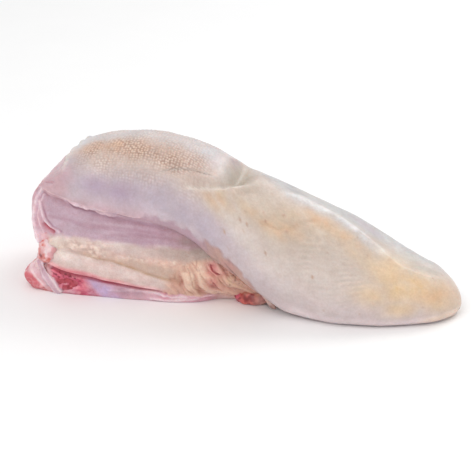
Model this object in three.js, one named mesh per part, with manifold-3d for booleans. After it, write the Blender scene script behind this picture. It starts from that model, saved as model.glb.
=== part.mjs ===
// A raw beef tongue, whole, lying on its underside.
// Millimetres, +Z up. The tip points to +X, the near flank faces -Y and the floor is z = 0.
// The cut root is at -X, under a high hump, and the blade leans over onto its near margin.

import * as THREE from 'three';
import { mergeVertices } from 'three/addons/utils/BufferGeometryUtils.js';
import Module from 'manifold-3d';

// ---------------------------------------------------------------- driving dimensions

const ROOT_X = -138; // where the skin was cut off at the root, on top of the hump
const ROOT_SLANT = 10; // how much further back the cut lies at the margins
const SLANT_REACH = 45; // and how far forward that slant fades out
const TIP_X = 173; // the end of the tip
const TIP_ROUND = 26; // the length over which the tip rounds off
const TIP_GAP = 0.15; // the last section stops this short of the end
const MASS_ROOT_X = -157; // the cut end of the flesh under the skin
const MASS_FRONT_X = 40; // where that flesh runs out under the blade
const SINK = 0.8; // how far the soft meat is pressed flat on the floor

// The skinned back: sizes along x, each a list of [x, value].
const MIDDLE_Y = [[-148, 1], [-118, 0], [-30, 0.5], [45, -3], [105, -4], [150, 0.5], [173, 4]];
const MIDDLE_Z = [
  [-148, 88.5], [-138, 85], [-118, 79.5], [-96, 74.5], [-74, 72.5], [-50, 69.5], [-28, 65.5],
  [-6, 57], [18, 49], [45, 39], [75, 32], [105, 25], [130, 18.5], [150, 15], [173, 9],
];
const HALF_WIDTH = [
  [-148, 41], [-138, 43], [-118, 44.5], [-28, 43], [45, 49], [75, 48],
  [105, 42], [130, 35], [150, 28.5], [173, 23],
];
const RISE = [
  [-148, 8], [-138, 16], [-134, 22.5], [-118, 35], [-96, 46], [-60, 51.8], [-28, 50.5], [-6, 48],
  [18, 42.5], [45, 39.5], [75, 31.5], [105, 26.5], [130, 21.5], [150, 19], [173, 17],
];
const DROP = [
  [-148, 1.5], [-60, 1], [-50, 3], [-28, 8], [-6, 13], [18, 18], [31, 22],
  [45, 31], [60, 29], [75, 25], [105, 20], [130, 16], [150, 15], [173, 16],
];
const UPPER_FULLNESS = [[-138, 2.6], [-74, 2.3], [-28, 2.2], [45, 2.4], [105, 2.4], [173, 2]];
const LOWER_FULLNESS = [[-138, 5], [-74, 6], [-28, 4], [18, 2.6], [45, 2.4], [173, 2]];
const ROLL_DEG = [
  [-138, -1], [-118, -3], [-50, -1], [-6, 11], [18, 21],
  [45, 28], [75, 28], [105, 23], [150, 14], [173, 0],
];

// The crease across the back, between the hump and the blade: its floor, width and depth along y.
const CREASE_X = [
  [-42, -47], [-36, -38], [-33, -27], [-30, -17], [-26, -9],
  [-20, -4], [-12, -1], [0, 0], [20, 1], [34, -6],
];
const CREASE_WIDTH = [[-36, 2.5], [-27, 3], [-19, 5], [-5, 8], [10, 8.5], [30, 6]];
const CREASE_DEPTH = [
  [-42, 0], [-36, 0.5], [-33, 1.3], [-28, 2.4], [-20, 5],
  [-8, 8], [4, 6.6], [16, 2.2], [28, 0.8], [38, 0],
];
const CREASE_LIP = 2.2; // the swollen edges on its two sides
const SKEW_REACH = 110;

// The raised line along the middle of the blade, as y along x.
const CREST_Y = [[20, -4], [38, 2], [68, 6], [93, 1], [104, -3], [130, -10], [150, -8], [163, 4]];
const CREST_HEIGHT = 2;
const CREST_WIDTH = 5.5;
const TROUGH_DEPTH = 1.4; // the shallow valley beyond it
const TROUGH_OFFSET = 15;

// The flesh under the skin: half widths at the floor and above, and the height inside the skin.
const FOOT_WIDTH = [
  [-157, 43], [-135, 45], [-95, 42], [-56, 38], [-28, 32],
  [-10, 21], [4, 19], [16, 19], [28, 15], [40, 6],
];
const WAIST_WIDTH = [
  [-157, 43], [-135, 46], [-56, 44], [-28, 41], [-10, 37],
  [4, 33], [16, 28], [28, 20], [40, 8],
];
const WAIST_HEIGHT = 26;
const MASS_TOP = [[-157, 78], [-148, 90], [-138, 94], [-118, 88], [-60, 80], [-28, 76], [40, 58]];
const SHOULDER_HEIGHT = 56; // above this the flank leans in to the edge of the skin

// Lines along the flank, as z along x: the fat's upper edge, the groove in it and the red seam.
const FAT_EDGE = [[-157, 47], [-125, 51], [-60, 50], [-28, 51], [-10, 54], [40, 48]];
const GROOVE_LINE = [[-157, 43], [-121, 38], [-87, 33], [-57, 25], [-36, 21], [-10, 19], [40, 17]];
const SEAM_LINE = [[-157, 26], [-144, 25], [-130, 20.5], [-106, 17], [-76, 13], [-30, 9], [40, 6]];
const MUSCLE_DEPTH = 2; // how far the lean meat lies behind the fat
const FAT_SWELL = 1.8;
const STRIP_SWELL = 1.5;
const GROOVE_DEPTH = 1.6;
const SEAM_DEPTH = 2.6;
const LINE_HALF_WIDTH = 1.7;
const LUMP_HEIGHT = 0.9; // the lumps in the fat
const FOLD_HEIGHT = 2.2; // the gathered folds under the blade
const FOLD_PITCH = 8.5;
const FAR_PHASE = 2.2; // sets the far flank's lumps and folds apart from the near one's
const FOOT_ROUND = 3; // the radius where the flank meets the floor
const END_ROUND = 7; // and where it meets the cut root
const NOTCH_DEPTH = 6; // the hollow in the near corner of the root, where the knob sits
const NOTCH_HEIGHT = 36;
const NOTCH_HALF = 9;
const NOTCH_REACH = 18;

// How finely each surface is cut into faces.
const SKIN_ALONG = 60;
const SKIN_AROUND = 52;
const MASS_ALONG = 44;
const DECK_STEPS = 3; // across the flesh's hidden top and its base
const BAR_ALONG = 10;
const BAR_AROUND = 8;
const LUMP_ALONG = 10;
const LUMP_AROUND = 16;

// ---------------------------------------------------------------- small helpers

const clamp = THREE.MathUtils.clamp;
const smoothstep = THREE.MathUtils.smoothstep;
const lerp = THREE.MathUtils.lerp;
const radians = THREE.MathUtils.degToRad;

// A smooth curve through [x, value] points that never overshoots them.
function along(points, x) {
  const last = points.length - 1;
  const slopes = [];
  for (let i = 0; i < last; i += 1) {
    slopes.push((points[i + 1][1] - points[i][1]) / (points[i + 1][0] - points[i][0]));
  }
  const tangent = (i) => {
    if (i === 0) return slopes[0];
    if (i === last) return slopes[last - 1];
    const [before, after] = [slopes[i - 1], slopes[i]];
    return before * after <= 0 ? 0 : (2 * before * after) / (before + after);
  };
  const at = clamp(x, points[0][0], points[last][0]);
  let i = 0;
  while (i < last - 1 && at > points[i + 1][0]) i += 1;
  const span = points[i + 1][0] - points[i][0];
  const t = (at - points[i][0]) / span;
  return (1 + 2 * t) * (1 - t) ** 2 * points[i][1] + t * (1 - t) ** 2 * span * tangent(i)
    + t * t * (3 - 2 * t) * points[i + 1][1] + t * t * (t - 1) * span * tangent(i + 1);
}

function bell(value, centre, width) {
  return Math.exp(-(((value - centre) / width) ** 2));
}

function dome(value, low, high) {
  return Math.max(0, 1 - ((2 * value - low - high) / (high - low + 2)) ** 2);
}

function signedPower(value, exponent) {
  return Math.sign(value) * Math.abs(value) ** exponent;
}

// A closed skin over a bar: place(t, turn, reach) puts each of its points, with t from 0 to 1
// along it, turn from 0 to 1 round it, and reach 1 on its side and 0 in the middle of its ends.
function closedBar(alongSteps, aroundSteps, place) {
  const bar = new THREE.CylinderGeometry(1, 1, 1, aroundSteps, alongSteps);
  bar.deleteAttribute('normal');
  bar.deleteAttribute('uv');
  const merged = mergeVertices(bar);
  const spots = merged.attributes.position;
  for (let i = 0; i < spots.count; i += 1) {
    const reach = Math.hypot(spots.getX(i), spots.getZ(i));
    const turn = Math.atan2(spots.getX(i), spots.getZ(i)) / (2 * Math.PI);
    const steps = Math.round((turn < 0 ? turn + 1 : turn) * aroundSteps);
    const [x, y, z] = place(spots.getY(i) + 0.5, (steps % aroundSteps) / aroundSteps, Math.round(reach));
    spots.setXYZ(i, x, y, z);
  }
  return merged;
}

// ---------------------------------------------------------------- the skinned back

// Closer sections at the two ends.
function skinX(t) {
  const eased = t - (0.45 * Math.sin(2 * Math.PI * t)) / (2 * Math.PI);
  return lerp(ROOT_X, TIP_X - TIP_GAP, eased);
}

// The tip closes like a round bar's end.
function tipScale(x) {
  return Math.sqrt(1 - clamp((x - TIP_X + TIP_ROUND) / TIP_ROUND, 0, 1) ** 2);
}

function backRelief(x, y) {
  const floor = along(CREASE_X, y);
  const slant = 0.5 * (along(CREASE_X, y + 1) - along(CREASE_X, y - 1));
  const off = (x - floor) / (along(CREASE_WIDTH, y) * Math.hypot(1, slant));
  const groove = along(CREASE_DEPTH, y) * Math.exp(-((off * (off < 0 ? 1.4 : 1.1)) ** 2));
  const across = smoothstep(y, -38, -30) * (1 - smoothstep(y, 0, 20));
  const lips = CREASE_LIP * across * (0.8 * bell(off, -1.6, 0.9) + bell(off, 1.6, 0.7));
  const blade = smoothstep(x, 25, 50) * (1 - smoothstep(x, 150, 165));
  const crestY = along(CREST_Y, x);
  const crest = CREST_HEIGHT * Math.exp(-(Math.abs((y - crestY) / CREST_WIDTH) ** 1.5));
  const trough = TROUGH_DEPTH * bell(y, crestY + TROUGH_OFFSET, 8);
  return lips - groove + blade * (crest - trough);
}

// turn 0 is the middle of the back, 0.25 the near margin, 0.5 the underside.
function sectionPoint(x, turn, reach) {
  const roll = radians(along(ROLL_DEG, x));
  const side = Math.sin(2 * Math.PI * turn);
  const up = Math.cos(2 * Math.PI * turn);
  const fullness = up >= 0 ? along(UPPER_FULLNESS, x) : along(LOWER_FULLNESS, x);
  const height = tipScale(x) * (up >= 0 ? along(RISE, x) : along(DROP, x));
  const out = -reach * tipScale(x) * along(HALF_WIDTH, x) * signedPower(side, 2 / fullness);
  const rise = reach * height * signedPower(up, 2 / fullness);
  const y = along(MIDDLE_Y, x) + out * Math.cos(roll) - rise * Math.sin(roll);
  const z = along(MIDDLE_Z, x) + out * Math.sin(roll) + rise * Math.cos(roll);
  return [x, y, z + reach * smoothstep(up, -0.1, 0.35) * backRelief(x, y)];
}

// Around the crease the sections are skewed to run along it, and at the root they are slanted.
function skinPoint(t, turn, reach) {
  const x = skinX(t);
  const y = sectionPoint(x, turn, reach)[1];
  const follow = 1 - smoothstep(Math.abs(x), 0, SKEW_REACH);
  const atRoot = 1 - smoothstep(x, ROOT_X, ROOT_X + SLANT_REACH);
  const low = reach * (1 - smoothstep(Math.cos(2 * Math.PI * turn), 0.1, 0.85));
  return sectionPoint(x + follow * along(CREASE_X, y) - ROOT_SLANT * atRoot * low, turn, reach);
}

// ---------------------------------------------------------------- the flesh under it

// How far the flank stands out from its plain width; phase varies the lumps from side to side.
function flankRelief(x, z, phase) {
  const fatEdge = along(FAT_EDGE, x);
  const groove = along(GROOVE_LINE, x);
  const seam = along(SEAM_LINE, x);
  const rear = 1 - smoothstep(x, -42, -26);
  const inFat = smoothstep(z, groove, groove + 4) * (1 - smoothstep(z, fatEdge - 3, fatEdge + 2));
  const lumps = Math.sin(0.52 * x + 0.21 * z + phase) * Math.sin(0.23 * x - 0.55 * z + 1 + 2 * phase);
  const front = smoothstep(x, -40, -28) * (1 - smoothstep(x, 26, 36));
  const low = smoothstep(z, 2, 8) * (1 - smoothstep(z, 34, 58));
  const folds = Math.abs(Math.sin((Math.PI * (x + 16 + phase + 0.45 * (z - 25))) / FOLD_PITCH)) ** 0.7 - 0.6;
  return -MUSCLE_DEPTH * smoothstep(z, fatEdge - 2, fatEdge + 5)
    + rear * (FAT_SWELL * dome(z, groove, fatEdge) + STRIP_SWELL * dome(z, seam, groove))
    + LUMP_HEIGHT * lumps * inFat
    - rear * GROOVE_DEPTH * bell(z, groove, LINE_HALF_WIDTH)
    - (1 - smoothstep(x, -62, -48)) * SEAM_DEPTH * bell(z, seam, LINE_HALF_WIDTH)
    + front * low * FOLD_HEIGHT * folds;
}

// The half width on one side, where toward is -1 for the near flank and 1 for the far one.
function flankWidth(x, z, toward, phase) {
  const foot = along(FOOT_WIDTH, x);
  const waist = along(WAIST_WIDTH, x);
  const skinEdge = along(HALF_WIDTH, x) + toward * along(MIDDLE_Y, x) - MUSCLE_DEPTH;
  const under = Math.max(FOOT_ROUND - z, 0);
  const round = FOOT_ROUND - Math.sqrt(FOOT_ROUND ** 2 - under ** 2);
  const shoulder = smoothstep(z, SHOULDER_HEIGHT, along(MASS_TOP, x)) * (1 - smoothstep(x, -60, -35));
  const plain = lerp(lerp(foot, waist, smoothstep(z, 0, WAIST_HEIGHT)), skinEdge, shoulder);
  return plain - round + (1 - shoulder) * flankRelief(x, z, phase);
}

// Heights on the flank from the floor up, placed so that its lines run along edges of the faces.
function flankLevels(x) {
  const fatEdge = along(FAT_EDGE, x);
  const groove = along(GROOVE_LINE, x);
  const seam = along(SEAM_LINE, x);
  const half = 2.6;
  return [
    0, 0.35 * FOOT_ROUND, FOOT_ROUND, lerp(FOOT_ROUND, seam - half, 0.5), seam - half, seam, seam + half,
    lerp(seam, groove, 0.5), groove - half, groove, groove + half,
    lerp(groove, fatEdge, 0.35), lerp(groove, fatEdge, 0.6), fatEdge - 3, fatEdge + 4,
    lerp(fatEdge + 4, along(MASS_TOP, x), 0.5), along(MASS_TOP, x),
  ].sort((a, b) => a - b);
}

// One section of the flesh as a ring of [y, z]: down the near flank, under, up the far one, back.
function massRing(x) {
  const near = flankLevels(x).map((z) => [-flankWidth(x, z, -1, 0), z]).reverse();
  const far = flankLevels(x).map((z) => [flankWidth(x, z, 1, FAR_PHASE), z]);
  const between = (from, to) => {
    const steps = [];
    for (let i = 1; i <= DECK_STEPS; i += 1) {
      const t = i / (DECK_STEPS + 1);
      steps.push([lerp(from[0], to[0], t), lerp(from[1], to[1], t)]);
    }
    return steps;
  };
  return [
    ...near, ...between(near[near.length - 1], far[0]),
    ...far, ...between(far[far.length - 1], near[0]),
  ];
}

const MASS_AROUND = massRing(0).length;

function massPoint(t, turn, reach) {
  const eased = t - (0.3 * Math.sin(2 * Math.PI * t)) / (2 * Math.PI);
  const x = lerp(MASS_ROOT_X, MASS_FRONT_X, eased);
  const [y, z] = massRing(x)[Math.round(turn * MASS_AROUND) % MASS_AROUND];
  const fromEnd = clamp((x - MASS_ROOT_X) / END_ROUND, 0, 1);
  const shrink = lerp(0.86, 1, Math.sqrt(1 - (1 - fromEnd) ** 2));
  const middle = 0.5 * along(MASS_TOP, x);
  const corner = smoothstep(-reach * shrink * y, 14, 34) * (1 - smoothstep(x, MASS_ROOT_X, MASS_ROOT_X + NOTCH_REACH));
  const notch = NOTCH_DEPTH * corner * bell(z, NOTCH_HEIGHT, NOTCH_HALF);
  return [x + notch, reach * shrink * y, reach === 0 ? middle : Math.max(0, z)];
}

// ---------------------------------------------------------------- scraps at the root and under the blade

// A tapering strand through points [x, y, z], with a radius at each, pressed to a flat oval.
function strand(points, radii, flatness) {
  const path = new THREE.CatmullRomCurve3(points.map((spot) => new THREE.Vector3(...spot)));
  const frames = path.computeFrenetFrames(BAR_ALONG);
  const widths = radii.map((radius, i) => [i / (radii.length - 1), radius]);
  return closedBar(BAR_ALONG, BAR_AROUND, (t, turn, reach) => {
    const step = Math.round(t * BAR_ALONG);
    const radius = reach * along(widths, t);
    const centre = path.getPointAt(t);
    centre.addScaledVector(frames.normals[step], radius * Math.cos(2 * Math.PI * turn));
    centre.addScaledVector(frames.binormals[step], radius * flatness * Math.sin(2 * Math.PI * turn));
    return centre.toArray();
  });
}

// A rounded lump about a centre, tilted in the x-z plane, with a few soft dents.
function lump(centre, radii, fullness, tiltDeg, dent) {
  const ball = new THREE.SphereGeometry(1, LUMP_AROUND, LUMP_ALONG);
  ball.deleteAttribute('normal');
  ball.deleteAttribute('uv');
  const merged = mergeVertices(ball);
  const spots = merged.attributes.position;
  const tilt = radians(tiltDeg);
  for (let i = 0; i < spots.count; i += 1) {
    const [px, py, pz] = [spots.getX(i), spots.getY(i), spots.getZ(i)];
    const size = [px, py, pz].reduce((sum, side) => sum + Math.abs(side) ** fullness, 0) ** (1 / fullness);
    const wave = 1 - dent * Math.sin(4 * px + 2 * py) * Math.cos(5 * pz - 3 * py);
    const [x, y, z] = [radii[0] * px, radii[1] * py, radii[2] * pz].map((side) => (side * wave) / size);
    spots.setXYZ(
      i,
      centre[0] + x * Math.cos(tilt) - z * Math.sin(tilt),
      centre[1] + y,
      centre[2] + x * Math.sin(tilt) + z * Math.cos(tilt),
    );
  }
  return merged;
}

function scraps() {
  const rim = [
    [-147, -40, 86], [-150, -40, 80], [-152, -39.5, 72],
    [-153.5, -39, 62], [-152.5, -39, 52], [-149, -39, 45],
  ];
  const inner = [[-149, -42, 75], [-147, -43, 68], [-143, -44.5, 61], [-138, -45, 56], [-133, -43, 54]];
  const fascia = [[-152, -42, 27], [-147, -45, 19], [-141, -45.5, 9], [-135, -44, 0.5]];
  const flap = [[22, -24, 16], [28, -26.5, 9], [32, -27.5, 4], [35, -27.5, 1.6]];
  const farRim = [[-148, 40, 84], [-153, 40, 72], [-155, 41, 58], [-152, 42, 45], [-147, 43, 36]];
  return [
    lump([-131, 3, 54], [27, 38, 43], 2.8, 0, 0.03), // the cut muscle of the root
    lump([-151, -28, 10.5], [15.5, 17, 11.5], 3.2, 14, 0.05), // the pale chunk at its foot
    lump([-131, -34, 10.5], [15, 11, 11], 2.6, 0, 0.04), // the dark red one beside it
    lump([-149, 24, 14], [14, 17, 14.5], 2.8, -6, 0.07), // and one on the far side
    lump([-143, -42, 37], [8.5, 8, 12.5], 2.2, -10, 0.04), // the knob over the chunks
    lump([14, -19, 5.5], [14, 8, 6], 2.4, 4, 0.05), // red tissue under the blade
    lump([10, 17, 7], [16, 9, 8], 2.4, 0, 0.05),
    strand(rim, [1.3, 1.8, 2.2, 2.2, 2.2, 1.6], 1),
    strand(inner, [1.3, 1.6, 1.7, 1.5, 1], 1),
    strand(fascia, [2.2, 2.6, 2.8, 2.6], 1),
    strand(flap, [2.6, 2.6, 2.4, 1.4], 0.6),
    strand(farRim, [1.5, 2.6, 3, 2.6, 1.6], 1),
  ];
}

// ---------------------------------------------------------------- joining and cutting

const wasm = await Module();
wasm.setup();

function solidFrom(geometry) {
  return new wasm.Manifold(new wasm.Mesh({
    numProp: 3,
    vertProperties: new Float32Array(geometry.attributes.position.array),
    triVerts: new Uint32Array(geometry.index.array),
  }));
}

// A block under the floor, which presses the underside flat where it is taken away.
function floorBlock() {
  const [length, width, depth] = [600, 300, 60];
  const block = new THREE.BoxGeometry(length, width, depth);
  block.deleteAttribute('normal');
  block.deleteAttribute('uv');
  block.translate(0, 0, SINK - depth / 2);
  return mergeVertices(block);
}

function tongueGeometry() {
  const back = closedBar(SKIN_ALONG, SKIN_AROUND, skinPoint);
  const mass = closedBar(MASS_ALONG, MASS_AROUND, massPoint);
  const whole = [mass, ...scraps()].reduce((sum, piece) => sum.add(solidFrom(piece)), solidFrom(back));
  const mesh = whole.subtract(solidFrom(floorBlock())).getMesh();
  const geometry = new THREE.BufferGeometry();
  geometry.setAttribute('position', new THREE.BufferAttribute(new Float32Array(mesh.vertProperties), 3));
  geometry.setIndex(new THREE.BufferAttribute(new Uint32Array(mesh.triVerts), 1));
  return geometry;
}

// The finished tongue stands on the middle of its footprint.
const geometry = tongueGeometry();
geometry.computeBoundingBox();
const centre = geometry.boundingBox.getCenter(new THREE.Vector3());
geometry.translate(-centre.x, -centre.y, -geometry.boundingBox.min.z);
geometry.computeVertexNormals();

const flesh = new THREE.MeshStandardMaterial({ color: 0xdcc5b8, roughness: 0.45, metalness: 0 });
const tongue = new THREE.Mesh(geometry, flesh);
tongue.name = 'beef_tongue';

const object = new THREE.Group();
object.name = 'beef_tongue_whole';
object.add(tongue);

export default object;
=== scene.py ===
import math
from functools import partial
from types import SimpleNamespace

import bpy
import numpy as np
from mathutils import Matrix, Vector


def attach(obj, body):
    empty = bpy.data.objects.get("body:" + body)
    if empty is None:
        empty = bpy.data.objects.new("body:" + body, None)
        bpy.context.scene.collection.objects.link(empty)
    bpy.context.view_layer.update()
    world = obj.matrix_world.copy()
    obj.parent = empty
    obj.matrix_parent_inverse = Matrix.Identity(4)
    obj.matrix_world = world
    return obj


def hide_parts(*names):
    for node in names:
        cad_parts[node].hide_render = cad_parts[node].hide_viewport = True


# A raw beef tongue, whole, lying on its underside, in four fine meshes: the skin of its back, the flesh of
# its flanks, the cut face of its root, and the scraps of meat that hang out of it. Sizes are millimetres,
# drawn in the tongue's own axes (tip +X, near flank -Y, up +Z), and moved into the frame at the end.

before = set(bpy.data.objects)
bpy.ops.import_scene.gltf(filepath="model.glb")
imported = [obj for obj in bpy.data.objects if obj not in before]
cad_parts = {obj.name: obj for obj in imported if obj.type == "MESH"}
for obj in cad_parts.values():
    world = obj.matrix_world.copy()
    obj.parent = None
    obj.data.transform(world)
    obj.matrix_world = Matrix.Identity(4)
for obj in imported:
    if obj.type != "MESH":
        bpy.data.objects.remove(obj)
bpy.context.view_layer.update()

MM = 0.001
FOOTPRINT_MIDDLE = (2.751, -1.745, 0.8)  # the frame's origin, in the tongue's own axes
SEED = 11

# ---- the skinned back: sizes along x

ROOT_X = -138
ROOT_SLANT = 10  # how much further back the skin reaches at its margins
SLANT_REACH = 45
TIP_X = 173
TIP_ROUND = 26
SKEW_REACH = 110  # how far from the crease the sections still bend with it
MIDDLE_Y = [(-148, 1), (-118, 0), (-30, 0.5), (45, -3), (105, -4), (150, 0.5), (173, 4)]
MIDDLE_Z = [
    (-148, 88.5), (-138, 85), (-118, 79.5), (-96, 74.5), (-74, 72.5), (-50, 69.5), (-28, 65.5),
    (-6, 57), (18, 49), (45, 39), (75, 32), (105, 25), (130, 18.5), (150, 15), (173, 9),
]
HALF_WIDTH = [
    (-148, 41), (-138, 43), (-118, 44.5), (-28, 43), (45, 49), (75, 48),
    (105, 42), (130, 35), (150, 28.5), (173, 23),
]
RISE = [
    (-148, 8), (-138, 16), (-134, 22.5), (-118, 35), (-96, 46), (-60, 51.8), (-28, 50.5), (-6, 48),
    (18, 42.5), (45, 39.5), (75, 31.5), (105, 26.5), (130, 21.5), (150, 19), (173, 17),
]
DROP = [
    (-148, 1.5), (-60, 1), (-50, 3), (-28, 8), (-6, 13), (18, 18), (31, 22),
    (45, 31), (60, 29), (75, 25), (105, 20), (130, 16), (150, 15), (173, 16),
]
UPPER_FULLNESS = [(-138, 2.6), (-74, 2.3), (-28, 2.2), (45, 2.4), (105, 2.4), (173, 2)]
LOWER_FULLNESS = [(-138, 5), (-74, 6), (-28, 4), (18, 2.6), (45, 2.4), (173, 2)]
ROLL_DEG = [
    (-138, -1), (-118, -3), (-50, -1), (-6, 11), (18, 21),
    (45, 28), (75, 28), (105, 23), (150, 14), (173, 0),
]

# The crease between the hump and the blade, and the raised line along the blade.
CREASE_X = [
    (-42, -47), (-36, -38), (-33, -27), (-30, -17), (-26, -9), (-20, -4), (-12, -1), (0, 0), (20, 1),
    (34, -6),
]
CREASE_WIDTH = [(-36, 2.5), (-27, 3), (-19, 5), (-5, 8), (10, 8.5), (30, 6)]
CREASE_DEPTH = [
    (-42, 0), (-36, 0.5), (-33, 1.3), (-28, 2.4), (-20, 5), (-8, 8), (4, 6.6), (16, 2.2), (28, 0.8), (38, 0),
]
CREASE_LIP = 2.2
DEEPEST = 8  # of the crease
CREST_Y = [(20, -4), (38, 2), (68, 6), (93, 1), (104, -3), (130, -10), (150, -8), (163, 4)]
CREST_HEIGHT = 2
CREST_WIDTH = 5.5
TROUGH_DEPTH = 1.4
TROUGH_OFFSET = 15

# Fine relief of the skin.
ARC = 0.785  # millimetres of skin for each degree round it
PAPILLA_PITCH = 2.3
PAPILLA_HEIGHT = 0.7
WRINKLE_PITCH = 6.2
WRINKLE_HEIGHT = 0.3
FOLD_DEPTH = 0.35
DOT_HEIGHT = 0.3
STEP_X = -133.5  # the ragged end of the thick skin at the root
STEP_HEIGHT = 1.3
STEP_LIP = 1.5
STEP_HALF_ANGLE = 66
EDGE_ANGLE = 98  # the torn edge of the skin along the flank
EDGE_RIDGE = 1.1
EDGE_TEARS = 0.8
SKIN_COLUMNS = 392
SKIN_ROWS = 250

# ---- the flesh under the skin

MASS_ROOT_X = -157
MASS_FRONT_X = 40
FOOT_WIDTH = [
    (-157, 43), (-135, 45), (-95, 42), (-56, 38), (-28, 32),
    (-10, 21), (4, 19), (16, 19), (28, 15), (40, 6),
]
WAIST_WIDTH = [
    (-157, 43), (-135, 46), (-56, 44), (-28, 41), (-10, 37),
    (4, 33), (16, 28), (28, 20), (40, 8),
]
WAIST_HEIGHT = 26
MASS_TOP = [(-157, 78), (-148, 90), (-138, 94), (-118, 88), (-60, 80), (-28, 76), (40, 58)]
SHOULDER_HEIGHT = 56
FAT_EDGE = [(-157, 47), (-125, 51), (-60, 50), (-28, 51), (-10, 54), (40, 48)]
GROOVE_LINE = [(-157, 43), (-121, 38), (-87, 33), (-57, 25), (-36, 21), (-10, 19), (40, 17)]
SEAM_LINE = [(-157, 26), (-144, 25), (-130, 20.5), (-106, 17), (-76, 13), (-30, 9), (40, 6)]
MUSCLE_DEPTH = 2
FAT_SWELL = 1.8
STRIP_SWELL = 1.5
GROOVE_DEPTH = 1.1
SEAM_DEPTH = 2.6
LINE_HALF_WIDTH = 1.7
FOLD_HEIGHT = 2.8
FOLD_PITCH = 8.5
RIM_HEIGHT = 1.7  # the raised rims at the near corner of the root, and the pit beside them
INNER_RIM_HEIGHT = 1.1
PIT_DEPTH = 1.6
STREAK_DEPTH = 1.1
BEAD_HEIGHT = 1.1
TORN_DEPTH = 1.0
FOLDS_TOP = [(-60, 26), (-45, 31), (-30, 37), (-15, 42), (0, 46), (18, 42), (40, 30)]
FAR_PHASE = 2.2  # how far the folds of the far flank are shifted against the near ones
FOOT_ROUND = 3
END_ROUND = 7
END_SHARE = 0.86  # of its width, which is left where its end is rounded off
NOTCH_DEPTH = 6  # the hollow in the near corner of the root, where the knob sits
NOTCH_HEIGHT = 36
NOTCH_HALF = 9
NOTCH_REACH = 18
FLESH_COLUMNS = 330  # rings from root to front, and their points
NEAR_ROWS = 150
FAR_ROWS = 112
HIDDEN_ROWS = 12  # across the base, and as many across the top, inside the skin
SCRAP_VOXEL = 0.8
LUMP_GRID = (42, 64)
STRAND_GRID = (40, 16)
STRAND_STEPS = 30  # points of its path that the distance to a strand is measured from
CHUNK_CELL = 5.5

# The cut face of the root, with its x along the height.
ROOT_FACE_X = [
    (0, -157), (70, -157), (76, -156.8), (80, -155.6), (84, -153), (90, -148.6), (93, -142), (95, -137),
]
ROOT_MIDDLE = (0.5, 47.5)
ROOT_HALF_SIZE = (39.5, 46)
ROOT_FULLNESS = 3.6
ROOT_SWELL = 2.0
SEPTA_PITCH = 9.5
SEPTA_DEPTH = 0.7
MIDDLE_DEPTH = 0.6
FIBRE_PITCH = 2.4
ROOT_BACK_X = -136
ROOT_AROUND = 300
ROOT_RINGS = 110


# ---- small helpers

def along(points, x):
    """A smooth curve through (x, value) points that never overshoots them."""
    xs, ys = np.array(points, float).T
    slopes = np.diff(ys) / np.diff(xs)
    tangents = np.empty_like(ys)
    tangents[0], tangents[-1] = slopes[0], slopes[-1]
    before, after = slopes[:-1], slopes[1:]
    product = before * after
    total = np.where(product > 0, before + after, 1)
    tangents[1:-1] = np.where(product > 0, 2 * product / total, 0)
    x = np.clip(x, xs[0], xs[-1])
    i = np.clip(np.searchsorted(xs, x, side="right") - 1, 0, len(xs) - 2)
    span = xs[i + 1] - xs[i]
    t = (x - xs[i]) / span
    return ((1 + 2 * t) * (1 - t) ** 2 * ys[i] + t * (1 - t) ** 2 * span * tangents[i]
            + t * t * (3 - 2 * t) * ys[i + 1] + t * t * (t - 1) * span * tangents[i + 1])


def ramp(value, start, end):
    """0 up to start and 1 from end on, with a smooth step between. It falls where end is below start."""
    t = np.clip((value - start) / (end - start), 0, 1)
    return t * t * (3 - 2 * t)


def plateau(value, start, low, high, end):
    """1 from low to high, falling to 0 at start and at end."""
    return ramp(value, start, low) * ramp(value, end, high)


def between(value, low, high, soft):
    """1 between low and high, fading to 0 over soft on each side."""
    return plateau(value, low - soft, low + soft, high - soft, high + soft)


def bell(value, centre, width):
    return np.exp(-((value - centre) / width) ** 2)


def dome(value, low, high):
    return np.maximum(0, 1 - ((2 * value - low - high) / (high - low + 2)) ** 2)


def most(*masks):
    """The largest of some masks at each point."""
    return np.maximum.reduce(masks)


def signed_power(value, exponent):
    return np.sign(value) * np.abs(value) ** exponent


def lerp(a, b, t):
    return a + (b - a) * t


def lattice(ix, iy, iz, seed):
    """A fixed random number from 0 to 1 for each point of a whole-number lattice."""
    h = (ix * 374761393 + iy * 668265263 + iz * 1442695041 + seed * 362437) & 0xFFFFFFFF
    h = ((h ^ (h >> 13)) * 1274126177) & 0xFFFFFFFF
    return ((h ^ (h >> 16)) & 0xFFFFFF) / 0xFFFFFF


class Noise:
    """Noise at some points, with features size across, and longer along an axis whose stretch is below 1."""

    def __init__(self, *points):
        self.points = np.stack(points, -1)

    def __call__(self, size, seed, stretch=(1, 1, 1)):
        """Smooth noise from -1 to 1."""
        q = self.points * np.array(stretch) / size + 1000.0
        cell = np.floor(q).astype(np.int64)
        f = q - cell
        f = f * f * (3 - 2 * f)
        total = 0
        for corner in np.ndindex(2, 2, 2):
            weight = np.abs(1 - np.array(corner) - f).prod(-1)
            total = total + weight * lattice(*np.moveaxis(cell + corner, -1, 0), seed)
        return 2 * total - 1

    def layered(self, size, seed, layers=3, stretch=(1, 1, 1)):
        """Noise from -1 to 1 with finer, weaker noise over it."""
        total = sum(0.5 ** i * self(size / 2 ** i, seed + 7 * i, stretch) for i in range(layers))
        return total / (2 - 0.5 ** (layers - 1))

    def cloud(self, size, seed, stretch=(1, 1, 1)):
        """Layered noise from 0 to 1, with most of its area near one end or the other."""
        return np.clip(0.5 + 1.1 * self.layered(size, seed, 3, stretch), 0, 1)

    def patches(self, start, end, size, seed, layers=1, stretch=(1, 1, 1)):
        """Soft patches from 0 to 1, where layered noise is past start."""
        return ramp(self.layered(size, seed, layers, stretch), start, end)


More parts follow.
